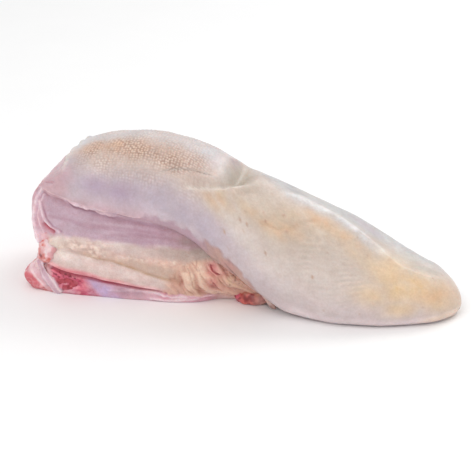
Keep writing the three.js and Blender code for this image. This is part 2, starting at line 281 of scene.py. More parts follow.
def cells(u, v, pitch, seed, jitter=0.38):
    """Distances to the nearest and the second nearest of a jittered lattice of points, in pitches."""
    pu, pv = u / pitch + 500, v / pitch + 500
    cu, cv = np.floor(pu).astype(np.int64), np.floor(pv).astype(np.int64)
    first, second = np.full(np.shape(pu), 9.0), np.full(np.shape(pu), 9.0)
    for du in (-1, 0, 1):
        for dv in (-1, 0, 1):
            ju = cu + du + 0.5 + jitter * (2 * lattice(cu + du, cv + dv, cv * 0, seed) - 1)
            jv = cv + dv + 0.5 + jitter * (2 * lattice(cu + du, cv + dv, cv * 0, seed + 3) - 1)
            gap = np.hypot(pu - ju, pv - jv)
            second = np.minimum(second, np.maximum(first, gap))
            first = np.minimum(first, gap)
    return first, second


def spots(u, v, centres, size_u, size_v):
    """1 in the middle of soft spots at (u, v) centres."""
    total = 0
    for cu, cv in centres:
        total = np.maximum(total, np.exp(-((u - cu) / size_u) ** 2 - ((v - cv) / size_v) ** 2))
    return total


def round_dots(points, u, v, centres, radius):
    """1 in the middle of round dots on a surface, each at the point nearest to its (u, v)."""
    total = np.zeros(len(u))
    for cu, cv in centres:
        middle = points[np.argmin((u - cu) ** 2 + (v - cv) ** 2)]
        total = np.maximum(total, np.exp(-(np.linalg.norm(points - middle, axis=1) / radius) ** 4))
    return total


def stroke(u, v, path, width):
    """1 on a line through (u, v) points, fading with the distance from it."""
    gap = np.full(np.shape(u), 1e6)
    for (au, av), (bu, bv) in zip(path[:-1], path[1:]):
        du, dv = bu - au, bv - av
        t = np.clip(((u - au) * du + (v - av) * dv) / (du * du + dv * dv), 0, 1)
        gap = np.minimum(gap, np.hypot(u - au - t * du, v - av - t * dv))
    return np.exp(-(gap / width) ** 2)


def spread(low, high, count, weight):
    """Steps from low to high, closer together where weight is larger."""
    fine = np.linspace(low, high, 4000)
    share = np.concatenate([[0], np.cumsum(weight(0.5 * (fine[1:] + fine[:-1])))])
    return np.interp(np.linspace(0, share[-1], count), share, fine)


def linear(shares):
    """Colours as a shader wants them, from shares of full brightness as they are seen."""
    return np.where(shares <= 0.04045, shares / 12.92, ((shares + 0.055) / 1.055) ** 2.4)


def seen(colour):
    """One colour for a shader, named as it is seen from 0 to 255."""
    return (*linear(np.array(colour) / 255), 1)


class Paint:
    """The colour of each point of a mesh, laid on layer by layer, as it is seen from 0 to 255."""

    def __init__(self, mesh, colour):
        self.mesh = mesh
        self.colour = np.tile(np.array(colour, float), (len(mesh.vertices), 1))

    def lay(self, colour, mask):
        self.colour += np.clip(mask, 0, 1)[:, None] * (np.array(colour) - self.colour)

    def finish(self, shade, rough):
        """Stores the colours, lighter by shade, a share of each, and the mask of the rough places."""
        tint = linear(np.clip(self.colour * (1 + shade[:, None]), 0, 250) / 255)
        opaque = np.hstack([tint, np.ones((len(tint), 1))])
        for name, kind, field, values in (("tint", "FLOAT_COLOR", "color", opaque),
                                          ("rough", "FLOAT", "value", np.clip(rough, 0, 1))):
            layer = self.mesh.attributes.new(name, kind, "POINT")
            layer.data.foreach_set(field, values.astype(np.float32).ravel())


# ---- meshes

def grid_faces(columns, rows):
    """Faces of a tube of columns rings with rows points each, and a fan at each end."""
    i, j = np.meshgrid(np.arange(columns - 1), np.arange(rows), indexing="ij")
    k = (j + 1) % rows
    quads = np.stack([i * rows + j, i * rows + k, (i + 1) * rows + k, (i + 1) * rows + j], -1).reshape(-1, 4)
    ring = np.arange(rows)
    after = (ring + 1) % rows
    first, last = columns * rows, columns * rows + 1
    start = np.stack([np.full(rows, first), after, ring], -1)
    base = (columns - 1) * rows
    end = np.stack([np.full(rows, last), base + ring, base + after], -1)
    return quads.tolist() + start.tolist() + end.tolist()


def closed_tube(name, rings):
    """A closed mesh through rings of points, shape (columns, rows, 3)."""
    columns, rows, _ = rings.shape
    ends = [rings[0].mean(0), rings[-1].mean(0)]
    mesh = bpy.data.meshes.new(name)
    mesh.from_pydata(np.concatenate([rings.reshape(-1, 3), ends]).tolist(), [], grid_faces(columns, rows))
    mesh.update()
    return mesh


def per_point(grid):
    """A grid's values, and its two ends' after them, in the order of a closed tube's points."""
    flat = grid.reshape(-1)
    return np.concatenate([flat, [flat[0], flat[-1]]])


def new_object(name, data):
    piece = bpy.data.objects.new(name, data)
    bpy.context.scene.collection.objects.link(piece)
    return piece


def read(vectors, field):
    values = np.empty(3 * len(vectors))
    vectors.foreach_get(field, values)
    return values.reshape(-1, 3)


def read_points(mesh):
    return read(mesh.vertices, "co")


def read_normals(mesh):
    return read(mesh.vertex_normals, "vector")


def write_points(mesh, points):
    mesh.vertices.foreach_set("co", points.astype(np.float32).ravel())
    mesh.update()


def raise_relief(mesh, relief):
    """Moves each point out along its normal, and presses what would lie under the floor flat on it."""
    points = read_points(mesh) + read_normals(mesh) * relief[:, None]
    points[:, 2] = np.maximum(points[:, 2], FOOTPRINT_MIDDLE[2])
    write_points(mesh, points)
    mesh.polygons.foreach_set("use_smooth", np.ones(len(mesh.polygons), bool))


# ---- the skin

UPPER_SIDE = (-0.1, 0.35)  # where the back's relief sets in, as the cosine of the degrees round it


def tip_scale(x):
    """How much of its width and height a section keeps where the tip rounds off."""
    past = np.clip((x - (TIP_X - TIP_ROUND)) / TIP_ROUND, 0, 1)
    return np.sqrt(1 - past ** 2)


def section(x, degrees):
    """Points of the skin's plain form. 0 degrees is the middle of the back, and 90 the near margin."""
    roll = np.radians(along(ROLL_DEG, x))
    side, up = np.sin(np.radians(degrees)), np.cos(np.radians(degrees))
    fullness = np.where(up >= 0, along(UPPER_FULLNESS, x), along(LOWER_FULLNESS, x))
    height = np.where(up >= 0, along(RISE, x), along(DROP, x)) * tip_scale(x)
    out = -along(HALF_WIDTH, x) * tip_scale(x) * signed_power(side, 2 / fullness)
    rise = height * signed_power(up, 2 / fullness)
    y = along(MIDDLE_Y, x) + out * np.cos(roll) - rise * np.sin(roll)
    z = along(MIDDLE_Z, x) + out * np.sin(roll) + rise * np.cos(roll)
    return np.stack([x, y, z], -1)


def crease_offset(x, y):
    """Distance past the crease's floor, in crease widths."""
    slant = 0.5 * (along(CREASE_X, y + 1) - along(CREASE_X, y - 1))
    return (x - along(CREASE_X, y)) / (along(CREASE_WIDTH, y) * np.hypot(1, slant))


def back_relief(x, y):
    """The crease between hump and blade with a lip on each side, and the blade's raised line and trough."""
    off = crease_offset(x, y)
    groove = along(CREASE_DEPTH, y) * np.exp(-(off * np.where(off < 0, 1.4, 1.1)) ** 2)
    lips = CREASE_LIP * plateau(y, -38, -30, 0, 20) * (0.8 * bell(off, -1.6, 0.9) + bell(off, 1.6, 0.7))
    crest_y = along(CREST_Y, x)
    crest = CREST_HEIGHT * np.exp(-np.abs((y - crest_y) / CREST_WIDTH) ** 1.5)
    trough = TROUGH_DEPTH * bell(y, crest_y + TROUGH_OFFSET, 8)
    return lips - groove + plateau(x, 25, 50, 150, 165) * (crest - trough)


def skin_grid():
    """Grids of x and degrees, closer together on the hump, at the ends and round the near margin."""
    x = spread(ROOT_X, TIP_X - 0.01, SKIN_COLUMNS, lambda v: (
        1 + 0.9 * plateau(v, -130, -115, -25, 5) + 2.5 * ramp(v, 160, 173) + bell(v, ROOT_X, 6)))
    degrees = spread(-180, 180, SKIN_ROWS + 1, lambda v: (
        0.65 + 1.1 * plateau(v, -32, -12, 52, 70) + 0.6 * plateau(v, 50, 60, 118, 132)))[:-1]
    return np.meshgrid(x, degrees, indexing="ij")


def round_skin(path):
    """A path given as (x, degrees round the skin), as (x, millimetres round it)."""
    return [(x, degrees * ARC) for x, degrees in path]


# Places on the skin, as (x, degrees round it).
ROUND_DOTS = [(9, 34), (15, 32), (-1, 61), (28, 13), (44, 9), (31, 42), (67, 40), (39, -1)]
FLESH_MARGIN = [
    (-76, 100), (-62, 85.5), (-40, 85), (-24, 86), (-16, 84), (-4, 82), (8, 82), (18, 87), (27, 98),
]

# Paths on the skin, as (x, millimetres round it).
CREST_PATH = round_skin([(38, -25), (53, -28), (68, -27), (81, -23), (93, -18), (104, -10), (114, -8),
                         (126, -1), (136, 7), (149, 9)])
CREST_SIDE = [(40, 0), (55, -6), (68, -8), (80, -8), (90, -4), (100, 2), (110, 8), (120, 14)]
BLADE_LIP = round_skin([(-32, 50), (-28, 48), (-23, 44), (-19, 39), (-14, 34), (-10, 27), (-5, 21),
                        (1, 12), (4, 4)])
HUMP_LIP = round_skin([(-18, 12), (-14, -4), (-13, -12), (-12, -24)])
BLADE_FOLD = [(24, 15), (35, 10), (45, 5), (53, -1), (59, -7)]


def make_skin():
    x, degrees = skin_grid()
    across = np.cos(np.radians(degrees))
    follow = ramp(np.abs(x), SKEW_REACH, 0)
    slant = ramp(x, ROOT_X + SLANT_REACH, ROOT_X) * ramp(across, 0.85, 0.1)
    x = x + follow * along(CREASE_X, section(x, degrees)[..., 1]) - ROOT_SLANT * slant
    grid = section(x, degrees)
    grid[..., 2] += ramp(across, *UPPER_SIDE) * back_relief(x, grid[..., 1])
    mesh = closed_tube("skin", grid)

    points = read_points(mesh)
    x, degrees = per_point(x), per_point(degrees)
    arc, size = degrees * ARC, np.abs(degrees)
    n, n_flat, n_edge = Noise(*points.T), Noise(x, arc, 0 * arc), Noise(x, 0 * x, np.sign(degrees))
    zone = SimpleNamespace(arc=arc, size=size)

    # the papillae of the hump
    zone.hump = plateau(x, -130, -112, -30, -8) * plateau(degrees, -70, -20, 32, 78)
    gap, _ = cells(x + 0.5 * n_flat(5, 3), arc + 0.5 * n_flat(5, 9), PAPILLA_PITCH, SEED, 0.24)
    zone.papilla = ramp(gap, 0.55, 0.12)
    patchy = np.clip(0.65 + 0.7 * n(14, 5), 0.2, 1)
    relief = PAPILLA_HEIGHT * zone.hump * patchy * (zone.papilla - 0.4)

    # swellings, wrinkles and dots of the blade
    relief += 0.5 * n.layered(26, 1) * ramp(x, ROOT_X, -120) + 0.2 * n.layered(7, 2, 2) + 0.06 * n(1.7, 12)
    slanted = 0.5 * x + 1.25 * arc + 3.5 * n(20, 4) + 2 * n(9, 34)
    wrinkle = np.sin(2 * np.pi * slanted / WRINKLE_PITCH) * np.clip(0.3 + n(10, 14), 0, 1)
    zone.wrinkle = bell(x, 80, 34) * bell(degrees, 32, 30) * wrinkle
    zone.fold = partial(stroke, x, arc + n(6, 35), BLADE_FOLD)
    relief += WRINKLE_HEIGHT * zone.wrinkle - FOLD_DEPTH * zone.fold(1.5)
    rng = np.random.default_rng(SEED)
    small_dots = list(zip(rng.uniform(-10, 160, 22), rng.uniform(-70, 95, 22)))
    zone.dots = most(round_dots(points, x, degrees, ROUND_DOTS, 1.4),
                     0.5 * round_dots(points, x, degrees, small_dots, 0.9))
    relief += DOT_HEIGHT * zone.dots

    # the ragged step where the thick skin ends at the root
    step_x = STEP_X + 1.6 * n_flat(6, 15) + 0.9 * n_flat(2.5, 16)
    on_back = ramp(size, STEP_HALF_ANGLE, 40)
    zone.step = ramp(x, step_x + 0.7, step_x - 0.7) * on_back
    zone.rim = bell(x, step_x + 2, 2) * on_back
    relief += STEP_LIP * zone.rim * n_flat.patches(-0.6, 0.5, 4, 17) - STEP_HEIGHT * zone.step
    relief += 0.6 * zone.step * n.layered(5, 18, 2, (0.4, 1, 1))

    # the torn edge along the flank
    edge_at = EDGE_ANGLE + 6 * n_edge(13, 6) + 3 * n_edge(4, 7)
    zone.edge = bell(size, edge_at, 4.5) * ramp(x, -30, -90) * (0.7 + 0.4 * n_edge(6, 8))
    torn = ramp(size, 88, 98) * ramp(x, -20, -70)
    relief += EDGE_RIDGE * zone.edge + EDGE_TEARS * torn * n_edge.layered(9, 19)

    # the crease's mask for painted shade, and the flesh that covers the near margin where the blade begins
    y = points[:, 1]
    zone.crease = ramp(np.cos(np.radians(degrees)), *UPPER_SIDE) * along(CREASE_DEPTH, y) / DEEPEST
    zone.crease *= bell(crease_offset(x, y), 0.1, 1.1)
    below_margin = degrees + 3 * n(5, 36) + 2 * n(2.2, 37) - along(FLESH_MARGIN, x)
    zone.covered = ramp(below_margin, 0, 4) * between(x, -72, 23, 5)
    zone.folds = fold_wave(x, points[:, 2], 0)
    relief += zone.covered * ramp(x, -30, -10) * (0.4 + 1.6 * zone.folds + 0.4 * n.layered(3, 38, 2))
    paint_skin(mesh, n, x, degrees, zone)
    raise_relief(mesh, relief)
    return new_object("tongue_skin", mesh)


def paint_skin(mesh, n, x, degrees, zone):
    arc, size = zone.arc, zone.size
    at, on_both = partial(spots, x, arc), partial(spots, x, np.abs(arc))
    broad, patch, fine = n.cloud(26, 21), n.cloud(11, 22), n.cloud(4, 23)
    paint = Paint(mesh, (219, 205, 199))
    lay = paint.lay
    lay((208, 194, 197), ramp(degrees, 42, 78) * (0.5 + 0.4 * broad))
    lay((232, 223, 218), 0.5 * patch * bell(degrees, 20, 45))
    lay((200, 182, 186), ramp(size, 76, 116) * ramp(x, -10, 45) * (0.9 - 0.6 * ramp(x, 140, 170)))

    # the warm patches of the blade
    upper_blade = bell(arc, 2, 23) * plateau(x, -12, 12, 104, 130)
    lay((199, 183, 169), upper_blade * (0.65 + 0.35 * broad))
    tan = most(at([(-16, 36), (-4, 24), (6, 15)], 12, 7), 0.9 * at([(26, 12), (40, 4)], 18, 9),
               stroke(x, arc, CREST_SIDE, 8))
    lay((213, 191, 167), tan * (0.45 + 0.55 * patch))
    warm = most(0.7 * at([(-14, 35), (-6, 28)], 7, 4), at([(26, 14), (35, 11), (45, 6)], 10, 4),
                at([(60, -10), (70, -11)], 10, 5), 0.9 * at([(86, -7), (96, -3)], 9, 5))
    lay((221, 185, 152), warm * (0.3 + 0.7 * patch))
    lay((200, 168, 142), 0.6 * zone.fold(1.6) * (0.3 + 0.7 * fine))

    # the far side of the blade, painted grey-white for the sheen it shows at a grazing angle, with spots of
    # its own colour, and a painted highlight along its crest
    far = ramp(-degrees, 16, 40) * ramp(size, 125, 96) * plateau(x, -5, 30, 140, 165)
    # painted reflection: the far side's grey-white, in streaks along the blade
    lay((200, 201, 201), far * (0.75 + 0.25 * broad))
    lay((184, 182, 186), 0.6 * far * n.patches(0, 0.4, 11, 31, 3, (0.35, 1, 1)))
    lay((220, 219, 219), 0.5 * far * n.patches(0.05, 0.4, 9, 32, 3, (0.35, 1, 1)))
    lay((202, 190, 198), 0.6 * far * at([(91, -38), (98, -31)], 10, 7))
    lay((188, 184, 174), 0.75 * at([(131, -18), (144, -9)], 13, 10) * (0.5 + 0.5 * patch))
    # a painted highlight along the crest: a faint broad band, then a narrow white line
    crest_highlight = partial(stroke, x, arc + 2 * n(10, 28), CREST_PATH)
    lay((212, 210, 212), 0.8 * crest_highlight(6) * (0.4 + 0.6 * n.cloud(9, 29, (0.5, 1, 1))))
    lay((243, 242, 242), crest_highlight(2.6) * (1 - 0.7 * ramp(x, 112, 132)) * (0.1 + 0.9 * n.cloud(8, 24)))

    # the yellow tip
    tip = most(at([(122, 8), (130, 28)], 15, 18), at([(142, 24)], 19, 22), at([(158, 30), (164, 44)], 16, 28),
               0.85 * at([(112, 38), (132, 50)], 15, 14))
    lay((232, 204, 170), tip * (0.75 + 0.3 * patch))
    lay((228, 192, 144), at([(130, 22), (144, 20), (136, 12)], 11, 10) * (0.2 + 0.7 * fine) * 0.75)
    lay((228, 186, 148), 0.7 * at([(154, 34), (160, 26), (168, 14)], 9, 13) * (0.3 + 0.7 * patch))
    lay((222, 200, 182), 0.85 * ramp(x, 155, 170) * (0.8 + 0.2 * broad))

    # the hump
    lay((217, 197, 187), 0.9 * plateau(degrees, -75, -25, 34, 66) * plateau(x, -134, -118, -32, -8))
    far_top = ramp(degrees, 22, 0) * ramp(size, 120, 100) * ramp(x, 0, -20)
    lay((217, 215, 219), far_top * (0.65 + 0.3 * broad))
    lay((222, 198, 190), 0.6 * at([(-34, 20)], 18, 14) * patch)
    orange = most(at([(-112, 15)], 11, 8), at([(-94, 17)], 13, 8), 0.7 * at([(-76, 20)], 14, 10),
                  0.45 * at([(-54, 22)], 16, 10))
    lay((226, 180, 142), orange * (0.3 + 0.8 * patch) * (0.55 + 0.6 * fine))
    lay((194, 181, 188), 0.8 * at([(-126, 30), (-122, 40)], 11, 14))

    # the lavender side and the pink membrane below it
    lay((200, 186, 194), ramp(size, 44, 70) * ramp(x, 50, -20) * (0.7 + 0.3 * broad))
    lilac = np.where(arc > 0, 1, 0.5)
    lay((184, 163, 185), lilac * on_both([(-102, 56), (-84, 58)], 16, 9) * (0.7 + 0.15 * patch))
    lay((208, 192, 202), 0.7 * on_both([(-116, 58), (-116, 66)], 6, 12) * n.cloud(5, 33, (1, 0.4, 0.3)))
    lay((218, 190, 200), 0.85 * on_both([(-92, 71), (-66, 71)], 20, 7) * (0.4 + 0.6 * patch))
    forward = on_both([(-52, 58), (-34, 62), (-16, 62)], 14, 12)
    lay((186, 174, 190), 0.7 * lilac * forward * (0.5 + 0.5 * patch))
    lay((190, 174, 177), 0.5 * on_both([(-86, 40), (-70, 41)], 12, 6) * (0.5 + 0.5 * patch))
    membrane = most(0.8 * ramp(size, 84, 94) * ramp(x, -30, -62), ramp(size, 34, 58) * ramp(x, -116, -134),
                    zone.step)
    lay((206, 172, 181), membrane * (0.75 + 0.25 * broad))
    lay((194, 156, 168), membrane * 0.45 * n.cloud(9, 25, (0.4, 1, 1)))
    lay((190, 158, 168), 0.45 * membrane * on_both([(-124, 49), (-126, 42)], 7, 8))
    lay((226, 196, 200), 0.6 * membrane * n.cloud(5, 30, (0.3, 1, 1)) * ramp(x, -118, -134))
    lay((230, 224, 220), 0.7 * zone.rim)
    lay((242, 218, 223), zone.edge * (0.6 + 0.4 * fine))
    lay((230, 208, 210), 0.3 * bell(size, 86, 4) * between(x, -58, -8, 8) * fine)
    # the underside of the near margin painted lighter, painted light against the shade near the floor, and
    # warmer under the tip
    under = between(degrees, 88, 116, 6) * ramp(x, 32, 52)
    lay((236, 222, 224), 0.85 * under)
    lay((240, 214, 190), 0.7 * under * ramp(x, 140, 160))

    # the flesh that covers the near margin where the blade begins, painted lighter on its fold ridges and
    # darker in its fold valleys as painted light and shade
    covered, folds = zone.covered, zone.folds
    begin = covered * ramp(x, -24, -4)
    lay((184, 154, 166), covered)
    lay((168, 142, 138), begin)
    # painted light on the fold ridges
    lay((204, 172, 158), 0.7 * begin * ramp(folds, -0.2, 0.3))
    lay((202, 144, 142), 0.5 * begin * patch)
    # painted shade in the fold valleys
    lay((140, 110, 106), 0.6 * begin * ramp(folds, -0.05, -0.5))

    # painted shade in the crease between the hump and the blade, painted highlights along its lips, and a
    # spot of painted shade on the hump's front face
    lay((186, 176, 160), zone.crease * (0.7 + 0.3 * patch))
    lay((236, 228, 220), 0.75 * stroke(x, arc, BLADE_LIP, 1.8))
    lay((230, 214, 212), 0.5 * stroke(x, arc, HUMP_LIP, 4))
    lay((180, 162, 166), 0.75 * at([(-8, -14), (-6, -19)], 3, 5) * (0.5 + 0.5 * fine))

    # the dots, and painted shade in the pits between the papillae, browner under the orange patches
    lay((192, 160, 142), 0.9 * zone.dots)
    pit_shade = zone.hump * (1 - zone.papilla) * (0.3 + 0.7 * ramp(degrees, -4, 14))
    browner = 0.2 * orange + 0.22 * at([(-66, 24), (-46, 25)], 15, 7)
    lay((166, 134, 122), pit_shade * (0.15 + 0.4 * patch + browner))
    lay((240, 226, 216), 0.5 * zone.hump * zone.papilla * ramp(patch, 0.1, 0.9))
    # the blade's wrinkles are painted a little lighter on their crests and darker in their troughs, painted
    # light and shade
    paint.finish(0.035 * n.layered(3, 26) + 0.03 * n.layered(12, 27) + 0.03 * zone.wrinkle,
                 0.5 * zone.hump + 0.4 * tip)


# ---- the flesh under the skin

# Lines on the flank, as (x, height).
PIT = [(-144.5, 58), (-141.5, 55.5), (-138, 54)]
RIM = [(-147, 87), (-151.5, 79), (-153.5, 70), (-154, 60), (-152.5, 51), (-149, 45)]
FINE_RIMS = [[(-146, 82), (-149.5, 74), (-150.5, 66), (-149, 58), (-146, 52)],
             [(-150, 84), (-154, 75), (-155.5, 64), (-155, 54)]]
INNER_RIM = [(-149.5, 76), (-147.5, 69), (-144.5, 62.5), (-139.5, 57), (-133, 54)]
STREAKS = [[(-140, 66), (-110, 62), (-80, 63), (-50, 60)], [(-104, 71), (-78, 70), (-52, 66), (-30, 58)],
           [(-90, 57), (-60, 57), (-30, 55), (-14, 48)]]
RED_STREAKS = [[(-12.5, 38), (-11.5, 33), (-9.5, 30.5), (-7, 30)], [(-12, 22), (-10, 18)]]
BEAD_ROW = [(-112, 38), (-92, 40), (-76, 41), (-60, 39.5), (-44, 38), (-29, 36), (-18, 35)]
MEMBRANES = [[(-96, 8), (-76, 9.5), (-58, 9), (-44, 6), (-34, 7)], [(-62, 3.5), (-44, 3), (-26, 5)],
             [(-34, 10), (-22, 7), (-10, 6)]]


def fold_wave(x, z, shift):
    """Gathered folds that fan out under the blade, from -0.6 in the valleys to 0.4 on the ridges."""
    across = x + 16 + shift + (0.3 + 0.6 * ramp(x, -30, 8)) * (z - 25)
    n = Noise(across, 0.3 * z, 0 * z + shift)
    waves = np.abs(np.sin(np.pi * (across + 6 * n(9, 44)) / FOLD_PITCH)) ** 0.7
    ridges = ramp(np.abs(n.layered(7.5, 48)), 0.45, 0)
    creases = ramp(np.abs(n.layered(5, 45, 2)), 0.16, 0)
    return 0.4 * (waves * (1 + 0.5 * n(11, 47)) + ridges - creases) + 0.35 * n.layered(3.4, 46, 2) - 0.3


def flank_relief(x, z):
    """The bands of the flank: lean meat set back over the fat, the smooth strip, and the lines between."""
    fat_edge, groove, seam = along(FAT_EDGE, x), along(GROOVE_LINE, x), along(SEAM_LINE, x)
    rear = ramp(x, -26, -42)
    return (-MUSCLE_DEPTH * ramp(z, fat_edge - 2, fat_edge + 5)
            + rear * (FAT_SWELL * dome(z, groove, fat_edge) + STRIP_SWELL * dome(z, seam, groove))
            - rear * GROOVE_DEPTH * bell(z, groove, LINE_HALF_WIDTH)
            - ramp(x, -48, -62) * SEAM_DEPTH * bell(z, seam, LINE_HALF_WIDTH))


def flank_width(x, z, toward):
    """How far the flesh reaches to one side; toward is -1 on the near side and 1 on the far one."""
    foot, waist = along(FOOT_WIDTH, x), along(WAIST_WIDTH, x)
    skin_edge = along(HALF_WIDTH, x) + toward * along(MIDDLE_Y, x) - MUSCLE_DEPTH
    under = np.maximum(FOOT_ROUND - z, 0)
    rounding = FOOT_ROUND - np.sqrt(FOOT_ROUND ** 2 - under ** 2)
    shoulder = ramp(z, SHOULDER_HEIGHT, along(MASS_TOP, x)) * ramp(x, -35, -60)
    plain = lerp(lerp(foot, waist, ramp(z, 0, WAIST_HEIGHT)), skin_edge, shoulder)
    return plain - rounding + (1 - shoulder) * flank_relief(x, z)


def flesh_rings():
    """Rings of the flesh's plain form: down the near flank, under, up the far one, and back inside."""
    t = np.linspace(0, 1, FLESH_COLUMNS)
    x = lerp(MASS_ROOT_X, MASS_FRONT_X, t - 0.3 * np.sin(2 * np.pi * t) / (2 * np.pi))[:, None]

    def flank(heights, toward):
        z = along(MASS_TOP, x) * heights
        return np.stack([x + 0 * z, toward * flank_width(x + 0 * z, z, toward), z], -1)

    near, far = flank(np.linspace(1, 0, NEAR_ROWS), -1), flank(np.linspace(0, 1, FAR_ROWS), 1)
    steps = np.linspace(0, 1, HIDDEN_ROWS + 2)[1:-1][None, :, None]
    under, inside = lerp(near[:, -1:], far[:, :1], steps), lerp(far[:, -1:], near[:, :1], steps)
    rings = np.concatenate([near, under, far, inside], 1)
    from_end = np.clip((x - MASS_ROOT_X) / END_ROUND, 0, 1)
    rings[..., 1] *= lerp(END_SHARE, 1, np.sqrt(1 - (1 - from_end) ** 2))
    rings[..., 0] += root_notch(*np.moveaxis(rings, -1, 0))
    return rings


def root_notch(x, y, z):
    """How far the hollow for the knob pushes the flesh towards the tip."""
    reach = ramp(-y, 14, 34) * ramp(x, MASS_ROOT_X + NOTCH_REACH, MASS_ROOT_X)
    return NOTCH_DEPTH * reach * bell(z, NOTCH_HEIGHT, NOTCH_HALF)


def make_flesh():
    mesh = closed_tube("flesh", flesh_rings())
    points = read_points(mesh)
    n = Noise(*points.T)
    x, y, z = points.T
    near = y < 0
    side = ramp(np.abs(read_normals(mesh)[:, 1]), 0.25, 0.6)
    x = np.where(near, x, x + 5 * n(30, 40))
    zone = flank_zones(n, x, z, near)
    relief = 0.35 * n.layered(11, 71, 2)
    relief += zone.muscle * (0.45 * n(7, 43, (0.15, 1, 1)) + 0.16 * n(2.4, 61, (0.12, 1, 1))
                             - 0.5 * zone.under_edge + 0.8 * zone.tatter)
    relief += 0.65 * zone.grain * (zone.grains - 0.3)
    relief += zone.row * (BEAD_HEIGHT * zone.beads - 0.3)
    relief += zone.fat * 0.5 * n.layered(5, 66, 2)
    relief += zone.strip * 0.22 * n(2.2, 62, (0.2, 1, 1))
    relief += 0.7 * zone.lip - 0.5 * zone.seam
    relief += zone.torn * (0.9 * n.layered(3.2, 63, 2, (0.5, 1, 1)) - TORN_DEPTH) - 0.8 * zone.holes
    relief += zone.low * (0.5 * n.layered(8, 64, 2, (0.4, 1, 1)) + 0.8 * zone.membranes)
    relief += zone.folded * (FOLD_HEIGHT * zone.folds + 0.5 * n.layered(4, 65, 2, (1, 1, 0.4)))
    relief += RIM_HEIGHT * zone.rim + INNER_RIM_HEIGHT * zone.inner_rim - PIT_DEPTH * zone.pit
    relief -= STREAK_DEPTH * zone.red_streaks
    top = along(MASS_TOP, x)
    hidden = most(ramp(z, top - 5, top - 1) * ramp(x, -148, -138), ramp(z, 1.2, 0.2))
    paint_flesh(mesh, n, x, z, zone, near)
    raise_relief(mesh, relief * side * (1 - hidden))
    return new_object("tongue_flesh", mesh)


def flank_zones(n, x, z, near):
    """Soft masks for the parts of the two flanks."""
    zone = SimpleNamespace()
    fat_edge, groove, seam = along(FAT_EDGE, x), along(GROOVE_LINE, x), along(SEAM_LINE, x)
    wobble = 1.4 * n(13, 41) + 0.7 * n(5, 42)
    folds_top = along(FOLDS_TOP, x)
    zone.front = ramp(x + 0.5 * (36 - z) + 2 * wobble, -42, -30)
    zone.front *= ramp(z + wobble, folds_top + 4, folds_top - 2)
    back = ramp(x + 2 * wobble, -20, -40)

    # the lean meat and the skin's ragged edge over it
    ridge = along(MIDDLE_Z, x)
    zone.muscle = ramp(z + wobble, fat_edge - 2, fat_edge + 3) * ramp(x, 6, -10)
    zone.under_edge = bell(z, ridge - 4, 1.9) * ramp(x, 6, -10)
    off_edge = z - ridge + 2.6 + 1.6 * Noise(x, 0 * x, near * 9.0)(7, 54) + 0.7 * n(2.2, 55)
    tatter = plateau(x, -150, -142, -104, -76)
    zone.tatter = ramp(off_edge, 0, 0.7) * tatter
    zone.tatter_shade = bell(off_edge, -0.7, 0.8) * tatter * n.patches(-0.4, 0.2, 6, 56)

    # the fat with its grains and beads, and the strip below it
    in_fat = between(z + wobble, groove, fat_edge - 1, 1.5) * back
    zone.fat = between(z + wobble, groove, fat_edge, 2) * ramp(x, 0, -20)
    zone.fat_top = bell(z + wobble, fat_edge - 2, 2.2) * ramp(x, -70, -96)
    zone.grain = in_fat * ramp(x, -84, -104) * ramp(z, groove + 2, groove + 5)
    zone.row = stroke(x, z + 0.7 * wobble, BEAD_ROW, 2.8)
    row_z = along(BEAD_ROW, x)
    zone.under_row = in_fat * ramp(z, row_z, row_z - 3) * (1 - zone.grain)
    zone.grains = n.patches(-0.25, 0.45, 2.7, 51, 2, (0.7, 1, 1))
    zone.beads = n.patches(-0.35, 0.35, 3.8, 52, 2, (0.8, 1, 0.8))
    zone.groove = bell(z + 0.6 * wobble, groove + 0.5, 2.2) * back * ramp(x, -128, -104)
    zone.strip = between(z + 0.6 * wobble, seam + 2, groove - 0.5, 1.2) * back

    # the seam, its lip and the torn meat under them
    wander = seam + 1.2 * n(12, 82)
    tail = ramp(x, -44, -62)
    zone.lip = bell(z, wander + 3, lerp(2.6, 1.6, ramp(x, -130, -90))) * tail
    zone.seam = bell(z, wander, lerp(1.6, 0.9, ramp(x, -110, -60))) * tail
    zone.torn = ramp(z, wander + 0.5, wander - 1.5) * ramp(x + 0.5 * z + 2 * wobble, -100, -112)
    zone.holes = zone.torn * n.patches(0.0, 0.4, 1.9, 53, 2) * bell(z, wander - 4, 4) * ramp(x, -112, -124)
    zone.low = ramp(z, wander, wander - 1.5) * ramp(x, -8, -20) * (1 - zone.torn)
    zone.membranes = most(*[stroke(x, z + 0.6 * wobble, path, 1.3) for path in MEMBRANES])

    # the folds under the blade
    zone.folded = zone.front * ramp(z, 3, 8) * ramp(x, 38, 30)
    zone.folds = fold_wave(x + 1.2 * wobble, z, np.where(near, 0, FAR_PHASE))
    zone.red_streaks = near * most(*[stroke(x + 0.8 * wobble, z, path, 0.55) for path in RED_STREAKS])

    # the rims and the pit at the cut end
    line = partial(stroke, x + 0.5 * wobble, z)
    zone.rim = line(RIM, 1.3)
    zone.inner_rim = most(line(INNER_RIM, 1.3), *[0.8 * line(path, 0.8) for path in FINE_RIMS])
    zone.pit = line(PIT, 1.8)
    return zone


